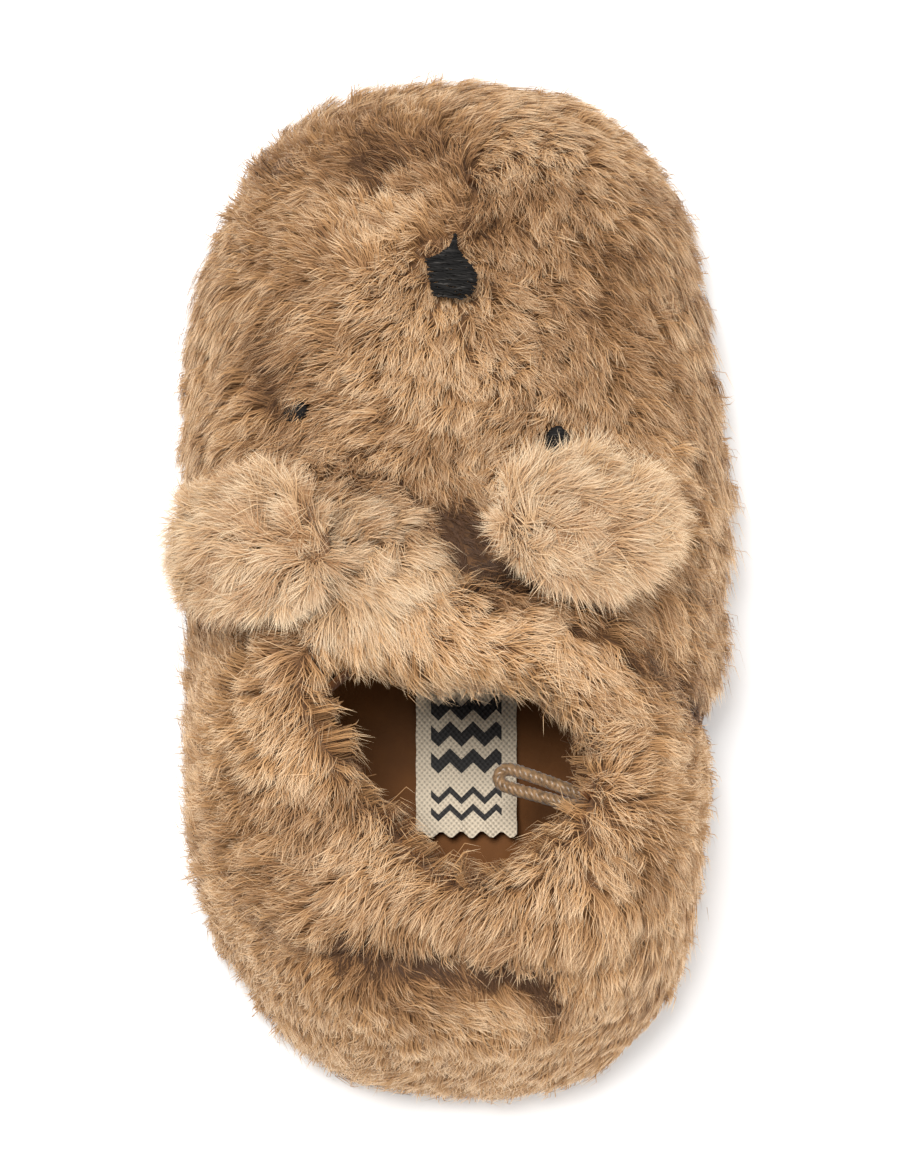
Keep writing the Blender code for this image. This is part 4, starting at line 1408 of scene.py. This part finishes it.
class SLIPPER_OT_stage(bpy.types.Operator):
    """Pale floor, soft lights and the camera at the photograph's angle"""
    bl_idname = "slipper.stage"
    bl_label = "Stage"

    def execute(self, context):
        settings = context.scene.slipper_stage
        scene = context.scene
        work = bmesh.new()
        bmesh.ops.create_grid(work, x_segments=1, y_segments=1, size=FLOOR_SIZE)
        floor = bpy.data.objects.new("floor", mesh_of("floor", work))
        scene.collection.objects.link(floor)
        floor.data.materials.append(new_material("floor", settings.floor_colour, roughness=0.9)[0])

        world = bpy.data.worlds.new("studio")
        world.use_nodes = True
        world.node_tree.nodes["Background"].inputs["Color"].default_value = WORLD_COLOUR
        world.node_tree.nodes["Background"].inputs["Strength"].default_value = WORLD_LIGHT
        scene.world = world
        for name, place, size, power in LAMPS:
            lamp = bpy.data.lights.new(name, "AREA")
            lamp.size = size
            lamp.energy = power
            light = bpy.data.objects.new(name, lamp)
            light.location = place
            light.rotation_euler = (-Vector(place)).to_track_quat("-Z", "Y").to_euler()
            scene.collection.objects.link(light)

        lens = bpy.data.cameras.new("camera")
        lens.lens = settings.lens
        lens.sensor_width = 36.0
        lens.shift_x, lens.shift_y = settings.frame_shift
        lens.dof.use_dof = False
        camera = bpy.data.objects.new("camera", lens)
        height = settings.camera_height
        back = Vector((0.0, -math.cos(height), math.sin(height)))
        camera.location = AIM + back * settings.camera_distance
        camera.rotation_euler = back.to_track_quat("Z", "Y").to_euler()
        scene.collection.objects.link(camera)
        scene.camera = camera
        scene.view_settings.view_transform = "Standard"
        return {"FINISHED"}


class SLIPPER_PT_panel(bpy.types.Panel):
    bl_label = "Plush Slipper"
    bl_idname = "SLIPPER_PT_panel"
    bl_space_type = "VIEW_3D"
    bl_region_type = "UI"
    bl_category = "Slipper"

    def draw(self, context):
        for operator in OPERATORS:
            self.layout.operator(operator.bl_idname)


GROUPS = (
    ("slipper_fur", FurSettings),
    ("slipper_trims", TrimSettings),
    ("slipper_stage", StageSettings),
)
OPERATORS = (SLIPPER_OT_fur, SLIPPER_OT_lining, SLIPPER_OT_trims, SLIPPER_OT_stage)


def register():
    for name, group in GROUPS:
        bpy.utils.register_class(group)
        setattr(bpy.types.Scene, name, bpy.props.PointerProperty(type=group))
    for operator in OPERATORS:
        bpy.utils.register_class(operator)
    bpy.utils.register_class(SLIPPER_PT_panel)


def unregister():
    bpy.utils.unregister_class(SLIPPER_PT_panel)
    for operator in reversed(OPERATORS):
        bpy.utils.unregister_class(operator)
    for name, group in reversed(GROUPS):
        delattr(bpy.types.Scene, name)
        bpy.utils.unregister_class(group)


def main():
    register()
    bpy.ops.slipper.fur()
    bpy.ops.slipper.lining()
    bpy.ops.slipper.trims()
    bpy.ops.slipper.stage()


if __name__ == "__main__":
    main()
